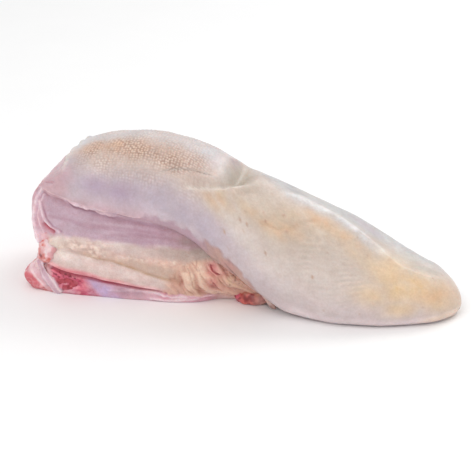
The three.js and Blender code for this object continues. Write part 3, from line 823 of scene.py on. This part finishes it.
def paint_flesh(mesh, n, x, z, zone, near):
    at, line = partial(spots, x, z), partial(stroke, x, z)
    wide, patch, fine = n.cloud(16, 91), n.cloud(7, 92), n.cloud(3, 93)
    grain = n.cloud(3.2, 94, (0.14, 1, 1))
    bundle = n.cloud(8, 95, (0.2, 1, 1))
    paint = Paint(mesh, (216, 190, 180))
    lay = paint.lay
    lay((203, 184, 182), zone.fat * (0.5 + 0.4 * wide))

    # the lean meat above the fat
    lay((195, 167, 182), zone.muscle)
    lay((208, 186, 199), zone.muscle * 0.75 * bundle)
    lay((176, 138, 154), zone.muscle * 0.65 * grain * ramp(x, -140, -70))
    streaks = most(*[stroke(x, z + 2 * n(14, 96), path, 1.7) for path in STREAKS])
    lay((176, 136, 152), zone.muscle * 0.45 * streaks)
    # painted shade in the line under the skin's edge, browner towards the blade
    lay((168, 132, 148), zone.muscle * 0.6 * zone.under_edge)
    lay((150, 126, 124), 0.6 * zone.under_edge * ramp(x, -56, -34) * fine)
    lay((140, 98, 114), 0.85 * zone.tatter_shade)
    lay((238, 214, 222), zone.tatter * (0.5 + 0.5 * fine))
    lay((180, 138, 146), zone.muscle * 0.6 * ramp(x, -60, -20))

    # the fat, its grains and beads with painted shade and highlights, its groove in painted shade, and the
    # smooth strip under it
    lay((184, 162, 148), 0.8 * zone.fat * ramp(x, -80, -30) * (0.4 + 0.6 * wide))
    lay((228, 212, 202), 0.6 * zone.fat * n.cloud(6, 105, (0.5, 1, 1)) * ramp(x, -30, -70))
    lay((214, 186, 166), zone.under_row * (0.5 + 0.4 * patch))
    # painted shade in the gaps between the beads, and paler fat on them, partly painted highlight
    lay((214, 172, 150), 0.6 * zone.row * (1 - zone.beads))
    lay((244, 218, 198), zone.row * zone.beads * (0.3 + 0.6 * fine))
    # painted shade in the gaps between the grains, and paler fat on them, partly painted highlight
    lay((198, 168, 154), 0.7 * zone.grain * (1 - zone.grains))
    lay((242, 218, 204), zone.grain * zone.grains * (0.4 + 0.6 * fine))
    lay((248, 208, 192), 0.45 * zone.row * between(x, -62, -32, 6))
    lay((230, 210, 206), 0.45 * at([(-78, 43), (-66, 42)], 12, 4))
    glints = n.patches(0.25, 0.6, 2.2, 111, 1, (0.6, 1, 1))
    lay((255, 242, 228), 0.55 * glints * most(zone.grain, zone.row))
    # a painted highlight where the fat begins beside the knob
    lay((246, 236, 214), 0.8 * at([(-134, 46), (-131, 43)], 3, 3))
    # pale fat along the fat's top edge, partly painted highlight
    lay((246, 234, 228), 0.6 * zone.fat_top * (0.4 + 0.6 * patch))
    # painted shade along the groove
    lay((204, 170, 134), 0.8 * zone.groove * (0.3 + 0.7 * patch))
    lay((231, 211, 205), zone.strip)
    lay((216, 193, 184), zone.strip * 0.5 * grain)
    # a painted highlight on the rear end of the strip
    lay((244, 232, 226), 0.85 * at([(-128, 35), (-118, 33)], 12, 5) * (0.5 + 0.5 * patch))
    lay((238, 222, 212), 0.8 * at([(-132, 46), (-130, 40)], 5, 5))

    # the folds under the blade, painted lighter on their ridges and darker in their valleys as painted light
    # and shade
    ridge = ramp(zone.folds, -0.25, 0.3)
    front = zone.front * ramp(z, 2, 6)
    pink = ramp(x, -12, 8)
    lay((202, 158, 134), front * (1 - 0.4 * pink))
    lay((206, 150, 136), front * 0.7 * pink)
    # painted light on the fold ridges, brightest on the highest
    lay((238, 202, 180), front * ridge * (0.6 + 0.4 * patch) * (1 - 0.5 * pink))
    lay((252, 228, 206), 0.5 * front * ramp(zone.folds, 0.12, 0.4) * (1 - 0.4 * pink))
    # painted shade in the fold valleys
    lay((176, 124, 106), 0.6 * front * ramp(zone.folds, -0.1, -0.5))
    lay((240, 184, 172), front * 0.6 * n.cloud(5, 104, (1, 1, 0.4)) * (1 - ridge))
    lay((230, 184, 168), front * 0.7 * pink * n.cloud(4, 97, (1, 1, 0.3)))
    lay((182, 164, 152), zone.front * 0.8 * at([(-24, 48), (-14, 48), (-4, 42)], 9, 4.5))
    lay((222, 192, 152), front * 0.6 * at([(0, 24), (6, 18)], 7, 7) * fine)
    lay((146, 128, 120), 0.55 * at([(-31, 56), (-23, 50), (-14, 46)], 9, 5))
    lay((242, 206, 188), 0.35 * at([(-34, 36)], 8, 5))
    blotch = most(*[stroke(x + 2 * n(6, 107), z, path, 4.6) for path in RED_STREAKS])
    lay((208, 112, 118), 0.7 * front * blotch * (0.4 + 0.6 * patch))
    lay((150, 44, 52), 0.85 * zone.red_streaks * front)
    lay((230, 194, 182), 0.45 * at([(-39, 15), (-8, 5), (-18, 6)], 7, 5))
    lay((240, 214, 216), 0.6 * at([(-37, 4), (-27, 4), (-8, 3)], 8, 3.5))
    specks = n.patches(0.45, 0.7, 2.2, 110) * front * ramp(x, -8, 4)
    lay((138, 96, 84), 0.6 * specks)

    # below the strip: the red seam, the torn dark meat, a lilac piece and pale membranes
    low = zone.low
    lay((230, 180, 200), low * (0.6 + 0.4 * wide))
    lay((222, 132, 158), low * 0.6 * patch * ramp(x, -84, -60))
    lay((250, 232, 238), low * zone.membranes * 0.9)
    lilac = np.where(near, 0.95, 0.4) * between(x + 0.5 * z, -118, -84, 5)
    lay((206, 184, 222), lilac * low * (0.55 + 0.45 * patch))
    lay((172, 136, 154), 0.7 * low * at([(-82, 8), (-72, 7)], 7, 5))
    lay((244, 222, 228), 0.5 * low * at([(-69, 4), (-38, 4)], 9, 4))
    lay((242, 142, 160), zone.torn)
    lay((198, 74, 104), zone.torn * n.cloud(3.4, 98, (0.6, 1, 1)))
    lay((244, 178, 186), zone.torn * 0.7 * n.patches(0.15, 0.5, 3.4, 99, 2))
    lay((118, 24, 46), 0.8 * zone.holes)
    lay((190, 154, 176), 0.6 * at([(-107, 4)], 6, 5) * zone.torn)
    lay((234, 198, 208), 0.8 * at([(-134, 3), (-126, 3)], 6, 4) * zone.torn)
    lay((234, 140, 148), zone.lip * (0.85 + 0.15 * patch) * (1 - 0.4 * ramp(x, -100, -60)))
    # painted highlights on the lip
    lay((252, 216, 216), 0.8 * zone.lip * n.patches(-0.2, 0.35, 4, 108, 1, (0.4, 1, 1)))
    lay((200, 100, 112), 0.6 * zone.lip * at([(-113, 23), (-104, 21)], 6, 4))
    lay((186, 70, 90), zone.seam * (1 - 0.3 * ramp(x, -100, -60)))

    # the cut end of the flank
    ragged = ramp(x + 1.5 * n(6, 102), -138, -144) * ramp(z, 54, 50)
    lay((228, 178, 184), ragged)
    lay((246, 226, 228), ragged * 0.8 * patch)
    lay((206, 104, 104), ragged * 0.6 * n.patches(0.2, 0.6, 4, 103))
    end = ramp(x + 0.25 * (z - 66), -138, -152)
    lay((208, 160, 172), end * plateau(z, 50, 56, 78, 88))
    lay((204, 166, 176), ramp(z - along(MIDDLE_Z, x), -8, 0) * ramp(x, -118, -138))
    lay((190, 84, 100), 0.85 * zone.pit)
    between_rims = line([(u + 1.8, v) for u, v in RIM], 1.4) * ramp(z, 84, 76)
    lay((156, 104, 124), 0.8 * between_rims * patch)
    beside = line([(u + 1.9, v + 0.6) for u, v in INNER_RIM], 0.9)
    lay((150, 100, 120), 0.7 * beside * n.patches(-0.3, 0.3, 5, 109))
    lay((240, 212, 224), 0.6 * at([(-150, 73), (-152, 66), (-151, 50)], 4, 7))
    lay((246, 226, 234), most(zone.rim, 0.85 * zone.inner_rim) * (0.5 + 0.5 * fine))
    paint.finish(0.05 * n.layered(3.4, 100) + 0.04 * n.layered(12, 101),
                 0.55 * zone.muscle + 0.3 * zone.strip)


# ---- the cut face of the root

def make_root():
    """A closed cushion let into the end of the flesh: hidden rings first, then the face's, margin first."""
    turn = np.linspace(0, 2 * np.pi, ROOT_AROUND, endpoint=False)[None]
    reach = np.concatenate([[0.2, 0.9, 1.0], np.linspace(1.0, 0.01, ROOT_RINGS)])[:, None]
    y = ROOT_MIDDLE[0] + ROOT_HALF_SIZE[0] * reach * signed_power(np.sin(turn), 2 / ROOT_FULLNESS)
    z = ROOT_MIDDLE[1] + ROOT_HALF_SIZE[1] * reach * signed_power(np.cos(turn), 2 / ROOT_FULLNESS)
    x = along(ROOT_FACE_X, z) - ROOT_SWELL * (1 - reach ** 6) + 3 * ramp(reach, 0.95, 1)
    x += root_notch(MASS_ROOT_X, y, z)
    x[:3] = ROOT_BACK_X
    mesh = closed_tube("root", np.stack([x, y, z], -1))
    points = read_points(mesh)
    n = Noise(*points.T)
    x, y, z = points.T
    zone = SimpleNamespace()

    # bundles of fibres with pale septa between them
    warp_y, warp_z = (3 * n(10, seed) + 1.1 * n(3, seed + 7) for seed in (130, 131))
    first, second = cells(y + warp_y, z + warp_z, SEPTA_PITCH, SEED)
    thickness = 0.17 + 0.14 * n(9, 139)
    zone.septa = ramp(second - first, thickness, 0.2 * thickness)
    zone.septa *= 0.3 + 0.7 * n.patches(-0.5, 0.25, 13, 129)
    first, second = cells(y + 0.5 * warp_y, z, FIBRE_PITCH, SEED + 1)
    zone.fibres = ramp(second - first, 0.0, 0.45)
    zone.middle = bell(y + 0.6 * warp_y, 0, 1.7) * between(z, 12, 62, 5)
    zone.fat = ramp(n.layered(13, 132) + 0.5 * bell(z, 24, 9) + 0.35 * bell(z, 62, 5) - 0.1, 0.12, 0.42)
    off_middle = most(*np.abs((points[:, 1:] - ROOT_MIDDLE) / ROOT_HALF_SIZE).T)
    zone.margin = ramp(off_middle + 0.05 * n(7, 133) + 0.08 * ramp(-y, 18, 34), 0.8, 0.93)

    facing = ramp(-read_normals(mesh)[:, 0], 0.1, 0.4) * (1 - zone.margin)
    relief = 0.9 * n.layered(11, 134) + 0.3 * (zone.fibres - 0.5) - SEPTA_DEPTH * zone.septa * (1 - zone.fat)
    relief += zone.fat * (0.5 + 0.5 * n(3, 135)) - MIDDLE_DEPTH * zone.middle
    paint_root(mesh, n, z, zone)
    raise_relief(mesh, facing * relief + 0.3 * n.layered(4, 136))
    return new_object("tongue_root", mesh)


def paint_root(mesh, n, z, zone):
    wide, patch, fine = n.cloud(15, 140), n.cloud(6, 141), n.cloud(2.4, 142)
    upper = ramp(z + 3 * n(10, 143), 60, 68)
    paint = Paint(mesh, (198, 112, 120))
    lay = paint.lay
    lay((176, 78, 92), (1 - upper) * (0.3 + 0.6 * wide))
    lay((208, 138, 142), upper * 0.8)
    lay((220, 152, 154), zone.fibres * (0.3 + 0.3 * patch))
    lay((232, 192, 190), zone.septa * (0.35 + 0.55 * patch))
    lay((240, 220, 206), zone.fat * (0.75 + 0.25 * fine))
    lay((240, 214, 212), 0.9 * zone.middle)
    lay((208, 168, 180), zone.margin)
    lay((230, 204, 210), zone.margin * 0.8 * patch)
    paint.finish(0.05 * n.layered(3.4, 144) + 0.04 * n.layered(12, 145), 0.2 + 0 * z)


# ---- the scraps at the root and under the blade

def tilted(points, degrees):
    """Points turned about the Y axis, with their +X end up."""
    cos, sin = math.cos(math.radians(degrees)), math.sin(math.radians(degrees))
    x, y, z = np.moveaxis(points, -1, 0)
    return np.stack([x * cos - z * sin, y, x * sin + z * cos], -1)


def make_lump(centre, radii, fullness, tilt, dent):
    around, up = np.meshgrid(np.linspace(-1, 1, LUMP_GRID[0])[1:-1] * np.pi / 2,
                             np.linspace(0, 2 * np.pi, LUMP_GRID[1], endpoint=False), indexing="ij")
    unit = np.stack([np.sin(around), np.cos(around) * np.cos(up), np.cos(around) * np.sin(up)], -1)
    px, py, pz = np.moveaxis(unit, -1, 0)
    size = (np.abs(unit) ** fullness).sum(-1, keepdims=True) ** (1 / fullness)
    wave = 1 - dent * np.sin(4 * px + 2 * py) * np.cos(5 * pz - 3 * py)
    return closed_tube("lump", centre + tilted(unit * radii * wave[..., None] / size, tilt))


def strand_path(points, radii, count):
    steps = np.arange(len(points))
    t = np.linspace(0, len(points) - 1, count)
    centres = np.stack([along(list(zip(steps, column)), t) for column in np.array(points, float).T], -1)
    return centres, along(list(zip(steps, radii)), t)


def make_strand(points, radii, flatness):
    centres, widths = strand_path(points, radii, STRAND_GRID[0])
    forward = np.gradient(centres, axis=0)
    forward /= np.linalg.norm(forward, axis=1, keepdims=True)
    side = np.cross(forward, [0, -1, 0.01])
    side /= np.linalg.norm(side, axis=1, keepdims=True)
    out = np.cross(forward, side)
    turn = np.linspace(0, 2 * np.pi, STRAND_GRID[1], endpoint=False)[None, :, None]
    rings = (centres[:, None] + widths[:, None, None]
             * (np.cos(turn) * side[:, None] + flatness * np.sin(turn) * out[:, None]))
    return closed_tube("strand", rings)


LUMPS = {  # middle, radii, fullness, tilt in degrees, depth of the dents
    "chunk": ((-151, -28, 10.5), (15.5, 17, 11.5), 3.2, 14, 0.05),
    "dark_chunk": ((-131, -34, 10.5), (15, 11, 11), 2.6, 0, 0.04),
    "far_chunk": ((-149, 24, 14), (14, 17, 14.5), 2.8, -6, 0.07),
    "knob": ((-143, -42, 37), (8.5, 8, 12.5), 2.2, -10, 0.04),
    "red_tissue": ((14, -19, 5.5), (14, 8, 6), 2.4, 4, 0.05),
    "far_tissue": ((10, 17, 7), (16, 9, 8), 2.4, 0, 0.05),
}
STRANDS = {  # path, half widths along it, thickness as a share of the width
    "fascia": ([(-152, -42, 27), (-147, -45, 19), (-141, -45.5, 9), (-135, -44, 0.5)],
               (2.4, 3.2, 3.6, 3.4), 0.3),
    "flap": ([(22, -24, 16), (28, -26.5, 9), (32, -27.5, 4), (35, -27.5, 1.6)], (2.6, 2.6, 2.4, 1.4), 0.6),
    "far_rim": ([(-148, 40, 84), (-153, 40, 72), (-155, 41, 58), (-152, 42, 45), (-147, 43, 36)],
                (1.3, 2, 2.2, 2, 1.4), 1),
}


def on_strand(points, name, reach):
    """1 on a strand, fading to 0 over reach."""
    path, radii, _ = STRANDS[name]
    gap = np.full(len(points), 99.0)
    for centre, width in zip(*strand_path(path, radii, STRAND_STEPS)):
        gap = np.minimum(gap, np.linalg.norm(points - centre, axis=1) - width)
    return ramp(gap, reach, 0)


def lump_place(points, name):
    """Where points lie in a lump's own axes, in shares of its radii."""
    centre, radii, _, tilt, _ = LUMPS[name]
    return tilted(points - np.array(centre), -tilt) / np.array(radii)


def on_lump(points, name, reach):
    """1 on a lump, fading to 0 over reach, a share of its radii."""
    fullness = LUMPS[name][2]
    size = (np.abs(lump_place(points, name)) ** fullness).sum(-1) ** (1 / fullness)
    return ramp(size, 1.0 + reach, 1.0)


def join_and_remesh(name, meshes, voxel):
    """One closed mesh round some overlapping ones."""
    pieces = [new_object("part", mesh) for mesh in meshes]
    with bpy.context.temp_override(active_object=pieces[0], selected_editable_objects=pieces):
        bpy.ops.object.join()
    whole = pieces[0]
    remesh = whole.modifiers.new("remesh", "REMESH")
    remesh.mode = "VOXEL"
    remesh.voxel_size = voxel
    soften = whole.modifiers.new("soften", "SMOOTH")
    soften.factor = 0.5
    soften.iterations = 4
    shape = bpy.data.meshes.new_from_object(whole.evaluated_get(bpy.context.evaluated_depsgraph_get()))
    shape.name = name
    bpy.data.objects.remove(whole)
    return shape


def make_scraps():
    meshes = [make_lump(*size) for size in LUMPS.values()] + [make_strand(*size) for size in STRANDS.values()]
    mesh = join_and_remesh("scraps", meshes, SCRAP_VOXEL)
    points = read_points(mesh)
    n = Noise(*points.T)
    chunk = most(on_lump(points, "chunk", 0.25), on_lump(points, "far_chunk", 0.25))
    tissue = most(on_lump(points, "red_tissue", 0.12), on_lump(points, "far_tissue", 0.12))
    dark = on_lump(points, "dark_chunk", 0.08)
    knob = on_lump(points, "knob", 0.12)
    relief = 0.5 * n.layered(8, 75)
    relief += chunk * (1.6 * n.layered(11, 76, 2) + 0.8 * n.layered(4.5, 72, 3, (0.6, 1, 1)) - 0.8)
    relief += (tissue + dark) * 1.1 * n.layered(4.5, 77, 3, (0.5, 1, 1))
    relief += knob * (1.3 * n.layered(4, 78, 2) - 0.3)
    paint_scraps(mesh, n, points, chunk, tissue, dark, knob)
    raise_relief(mesh, relief)
    return new_object("tongue_scraps", mesh)


def paint_scraps(mesh, n, points, chunk, tissue, dark, knob):
    x, y, z = points.T
    patch, fine = n.cloud(7, 111), n.cloud(2.6, 112)
    paint = Paint(mesh, (206, 152, 160))
    lay = paint.lay
    lay((214, 180, 186), 0.8 * patch)

    # the two chunks of lean meat, the near one paler on top
    lay((216, 110, 120), chunk)
    lay((200, 90, 102), chunk * 0.85 * patch * (0.5 + 0.5 * fine))
    first, second = cells(y + 1.8 * n(5, 127), z + 1.8 * n(5, 128), CHUNK_CELL, SEED)
    lay((236, 186, 188), chunk * ramp(second - first, 0.2, 0.03) * (0.15 + 0.4 * fine))
    place = lump_place(points, "chunk")
    top = ramp(place[:, 2], 0.35, 0.75) * ramp(place[:, 0] + 0.5 * place[:, 2], -0.6, 0.1)
    lay((246, 218, 222), on_lump(points, "chunk", 0.25) * top)
    lay((246, 214, 214), 0.7 * chunk * n.patches(0.2, 0.5, 5, 113, 2))

    # the dark chunk, and the tissue under the blade
    lay((184, 70, 86), dark)
    lay((142, 38, 54), dark * 0.9 * n.patches(-0.15, 0.3, 2.2, 129, 2))
    lay((232, 154, 152), dark * 0.7 * n.patches(0.25, 0.5, 3.2, 114, 2))
    lay((216, 112, 102), tissue)
    lay((222, 112, 140), tissue * ramp(x + 2 * n(4, 123), 8, 3))
    lay((128, 36, 40), tissue * 0.75 * n.patches(0.0, 0.35, 4, 124, 2))
    # painted highlights in streaks on the tissue
    lay((244, 186, 170), tissue * 0.85 * n.patches(0.15, 0.4, 3, 115, 2, (0.5, 1, 1)))
    lay((212, 172, 162), 0.75 * tissue * ramp(x, 12, 23))
    lay((228, 180, 158), tissue * ramp(z + 2.5 * n(5, 125), 9, 12))

    # the knob
    lay((246, 222, 224), knob)
    lay((228, 160, 164), knob * 0.8 * n.patches(-0.1, 0.4, 5, 121, 2))
    place = lump_place(points, "knob")
    red = ramp(n.layered(3.6, 122) - 0.5 * place[:, 0] - 0.35 * place[:, 2], 0.1, 0.5)
    lay((214, 100, 88), 0.85 * knob * red)
    lay((214, 118, 118), 0.8 * knob * ramp(-x, 142, 148) * patch)
    lay((120, 34, 40), 0.9 * knob * spots(x, z, [(-147.5, 34), (-148, 26), (-143, 27)], 1.6, 1.6))

    # the pale side of the chunk, with a seam, and the flat band, whiter along both edges
    near_side = chunk * ramp(-y, 34, 38)
    pale = ramp(x + 0.75 * z + 1.5 * n(6, 118), -146, -143) * ramp(z, 33, 28)
    lay((232, 196, 204), 0.85 * near_side * pale)
    lay((250, 226, 230), near_side * bell(x + 0.95 * z + 1.2 * n(5, 119), -142, 1.5))
    band = on_strand(points, "fascia", 1.8)
    across = (x + 0.64 * z + 134.8) / 1.19 + 0.5 * n(5, 126)  # millimetres from the band's middle line
    lay((212, 184, 198), band * (0.8 + 0.2 * fine))
    lay((198, 152, 168), band * 0.7 * n.patches(0.05, 0.4, 5, 120, 2, (1, 1, 0.4)))
    lay((250, 232, 236), band * (bell(across, 2.4, 0.9) + 0.7 * bell(across, -2.6, 0.7)))

    # the far rim and the flap
    lay((236, 202, 206), 0.85 * on_strand(points, "far_rim", 1.2))
    flap = on_strand(points, "flap", 0.8)
    lay((220, 192, 184), flap)
    lay((160, 122, 110), flap * ramp(z, 6, 2) * (0.4 + 0.6 * fine))
    paint.finish(0.05 * n.layered(3.4, 116) + 0.04 * n.layered(12, 117), 0 * x)


# ---- materials

class Surface:
    """A material made of nodes. What is fed into a node is another one's output or a plain value."""

    def __init__(self, name):
        self.material = bpy.data.materials.new(name)
        self.material.use_nodes = True
        self.tree = self.material.node_tree
        self.shader = self.tree.nodes["Principled BSDF"]

    def feed(self, node, inputs):
        for name, value in inputs.items():
            if isinstance(value, bpy.types.NodeSocket):
                self.tree.links.new(value, node.inputs[name])
            else:
                node.inputs[name].default_value = value

    def node(self, kind, inputs, output=0, **settings):
        """An output of a new node."""
        node = self.tree.nodes.new("ShaderNode" + kind)
        for name, value in settings.items():
            setattr(node, name, value)
        self.feed(node, inputs)
        return node.outputs[output]

    def maths(self, operation, a, b, clamp=False):
        return self.node("Math", {0: a, 1: b}, operation=operation, use_clamp=clamp)

    def noise(self, size_mm, detail, low, high, stretch=(1, 1, 1)):
        """Noise with features of this size, spread from 0 to 1 between low and high."""
        place = self.node("Mapping", {"Vector": self.node("TexCoord", {}, "Object"), "Scale": stretch})
        plain = self.node("TexNoise", {"Vector": place, "Scale": 1 / (size_mm * MM), "Detail": detail}, "Fac")
        return self.node("MapRange", {"Value": plain, "From Min": low, "From Max": high})

    def mixed(self, colour, other, mask, blend="MIX"):
        """Sockets 6 and 7 and output 2 are the mix node's ones for colours."""
        return self.node("Mix", {0: mask, 6: colour, 7: other}, 2, data_type="RGBA", blend_type=blend)

    def bump(self, height, strength, distance_mm, **below):
        inputs = {"Height": height, "Strength": strength, "Distance": distance_mm * MM, **below}
        return self.node("Bump", inputs)


def meat_material(name, grain_mm, stain, roughness, coat):
    """Moist skin or flesh: its own paint, darkened by a fine stain and broken up by grain."""
    s = Surface(name)
    grain = s.noise(grain_mm, 2, 0.35, 0.65)
    drift = s.noise(6 * grain_mm, 4, 0.35, 0.65)
    colour = s.node("Attribute", {}, "Color", attribute_name="tint")
    for texture, strength in ((grain, 0.3), (drift, 0.24)):
        colour = s.mixed(colour, seen(stain), s.maths("MULTIPLY", texture, strength), "MULTIPLY")
    rough = s.node("Attribute", {}, "Fac", attribute_name="rough")
    dull = s.maths("ADD", s.maths("MULTIPLY", rough, 0.2), s.maths("MULTIPLY", drift, 0.12))
    fine = s.bump(s.noise(0.9, 2, 0.2, 0.8, (0.6, 1, 1)), 0.2, 0.2)
    s.feed(s.shader, {
        "Base Color": colour,
        "Roughness": s.maths("ADD", dull, roughness, clamp=True),
        "Subsurface Weight": 0.2,
        "Subsurface Radius": (1.0, 0.45, 0.3),
        "Subsurface Scale": 3 * MM,
        "IOR": 1.42,
        "Coat Weight": coat,
        "Coat Roughness": 0.18,
        "Normal": s.bump(s.noise(3.2, 3, 0.2, 0.8), 0.25, 0.5, Normal=fine),
    })
    return s.material


# ---- stage, light and camera

FLOOR_HALF = 3  # metres
FLOOR_COLOURS = [(254, 254, 254), (253, 253, 253)]
LIGHTS = [("key", (-0.35, -0.9, 1.3), 1.0, 7.5), ("back", (0.7, 0.9, 1.1), 0.9, 7)]  # place, size and watts
LIT_POINT = (0, 0, 0.04)
SKY_STRENGTH = 0.7


def make_floor():
    corners = [(x * FLOOR_HALF, y * FLOOR_HALF, 0) for x, y in ((-1, -1), (1, -1), (1, 1), (-1, 1))]
    mesh = bpy.data.meshes.new("floor")
    mesh.from_pydata(corners, [], [(0, 1, 2, 3)])
    paper = Surface("floor")
    colour = paper.mixed(seen(FLOOR_COLOURS[0]), seen(FLOOR_COLOURS[1]), paper.noise(60, 3, 0.3, 0.7))
    paper.feed(paper.shader, {"Base Color": colour, "Roughness": 0.8})
    mesh.materials.append(paper.material)
    new_object("floor", mesh)


def make_lights():
    world = bpy.data.worlds.new("studio")
    world.use_nodes = True
    sky = world.node_tree.nodes["Background"]
    sky.inputs["Color"].default_value = (1, 1, 1, 1)
    sky.inputs["Strength"].default_value = SKY_STRENGTH
    bpy.context.scene.world = world
    for name, place, size, power in LIGHTS:
        lamp = bpy.data.lights.new(name, "AREA")
        lamp.size = size
        lamp.energy = power
        light = new_object(name, lamp)
        light.location = place
        light.rotation_euler = (Vector(LIT_POINT) - Vector(place)).to_track_quat("-Z", "Y").to_euler()


PHOTO_AZIMUTH = 15
PHOTO_ELEVATION = 25
PHOTO_DISTANCE = 1.3
PHOTO_FOCAL_PIXELS = 1677
PHOTO_PIXELS = 474
SENSOR_MM = 36
LOOK_AT = (0, 0, 45)
SLIDE = -3  # how far the view is slid along the picture's own sideways direction


def make_camera():
    azimuth, elevation = math.radians(PHOTO_AZIMUTH), math.radians(PHOTO_ELEVATION)
    back = Vector((math.sin(azimuth) * math.cos(elevation), -math.cos(azimuth) * math.cos(elevation),
                   math.sin(elevation)))
    sideways = Vector((math.cos(azimuth), math.sin(azimuth), 0))
    target = (Vector(LOOK_AT) - Vector((*FOOTPRINT_MIDDLE[:2], 0)) + SLIDE * sideways) * MM
    data = bpy.data.cameras.new("camera")
    data.sensor_fit = "HORIZONTAL"
    data.sensor_width = SENSOR_MM
    data.lens = SENSOR_MM * PHOTO_FOCAL_PIXELS / PHOTO_PIXELS
    data.clip_end = 20
    camera = new_object("camera", data)
    camera.location = target + PHOTO_DISTANCE * back
    camera.rotation_euler = back.to_track_quat("Z", "Y").to_euler()
    bpy.context.scene.camera = camera


# ---- the whole scene

def finish_piece(piece, material):
    """Moves a piece from the tongue's own axes into the frame, and hands it over."""
    write_points(piece.data, (read_points(piece.data) - np.array(FOOTPRINT_MIDDLE)) * MM)
    piece.data.materials.clear()
    piece.data.materials.append(material)
    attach(piece, "root")
    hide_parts("beef_tongue")


make_camera()
make_lights()
make_floor()
skin_look = meat_material("tongue_skin", 1.5, (232, 220, 214), 0.36, 0.2)
flesh_look = meat_material("tongue_flesh", 1.2, (228, 200, 196), 0.26, 0.4)
finish_piece(make_skin(), skin_look)
finish_piece(make_flesh(), flesh_look)
finish_piece(make_root(), flesh_look)
finish_piece(make_scraps(), flesh_look)
bpy.context.scene.view_settings.view_transform = "Standard"
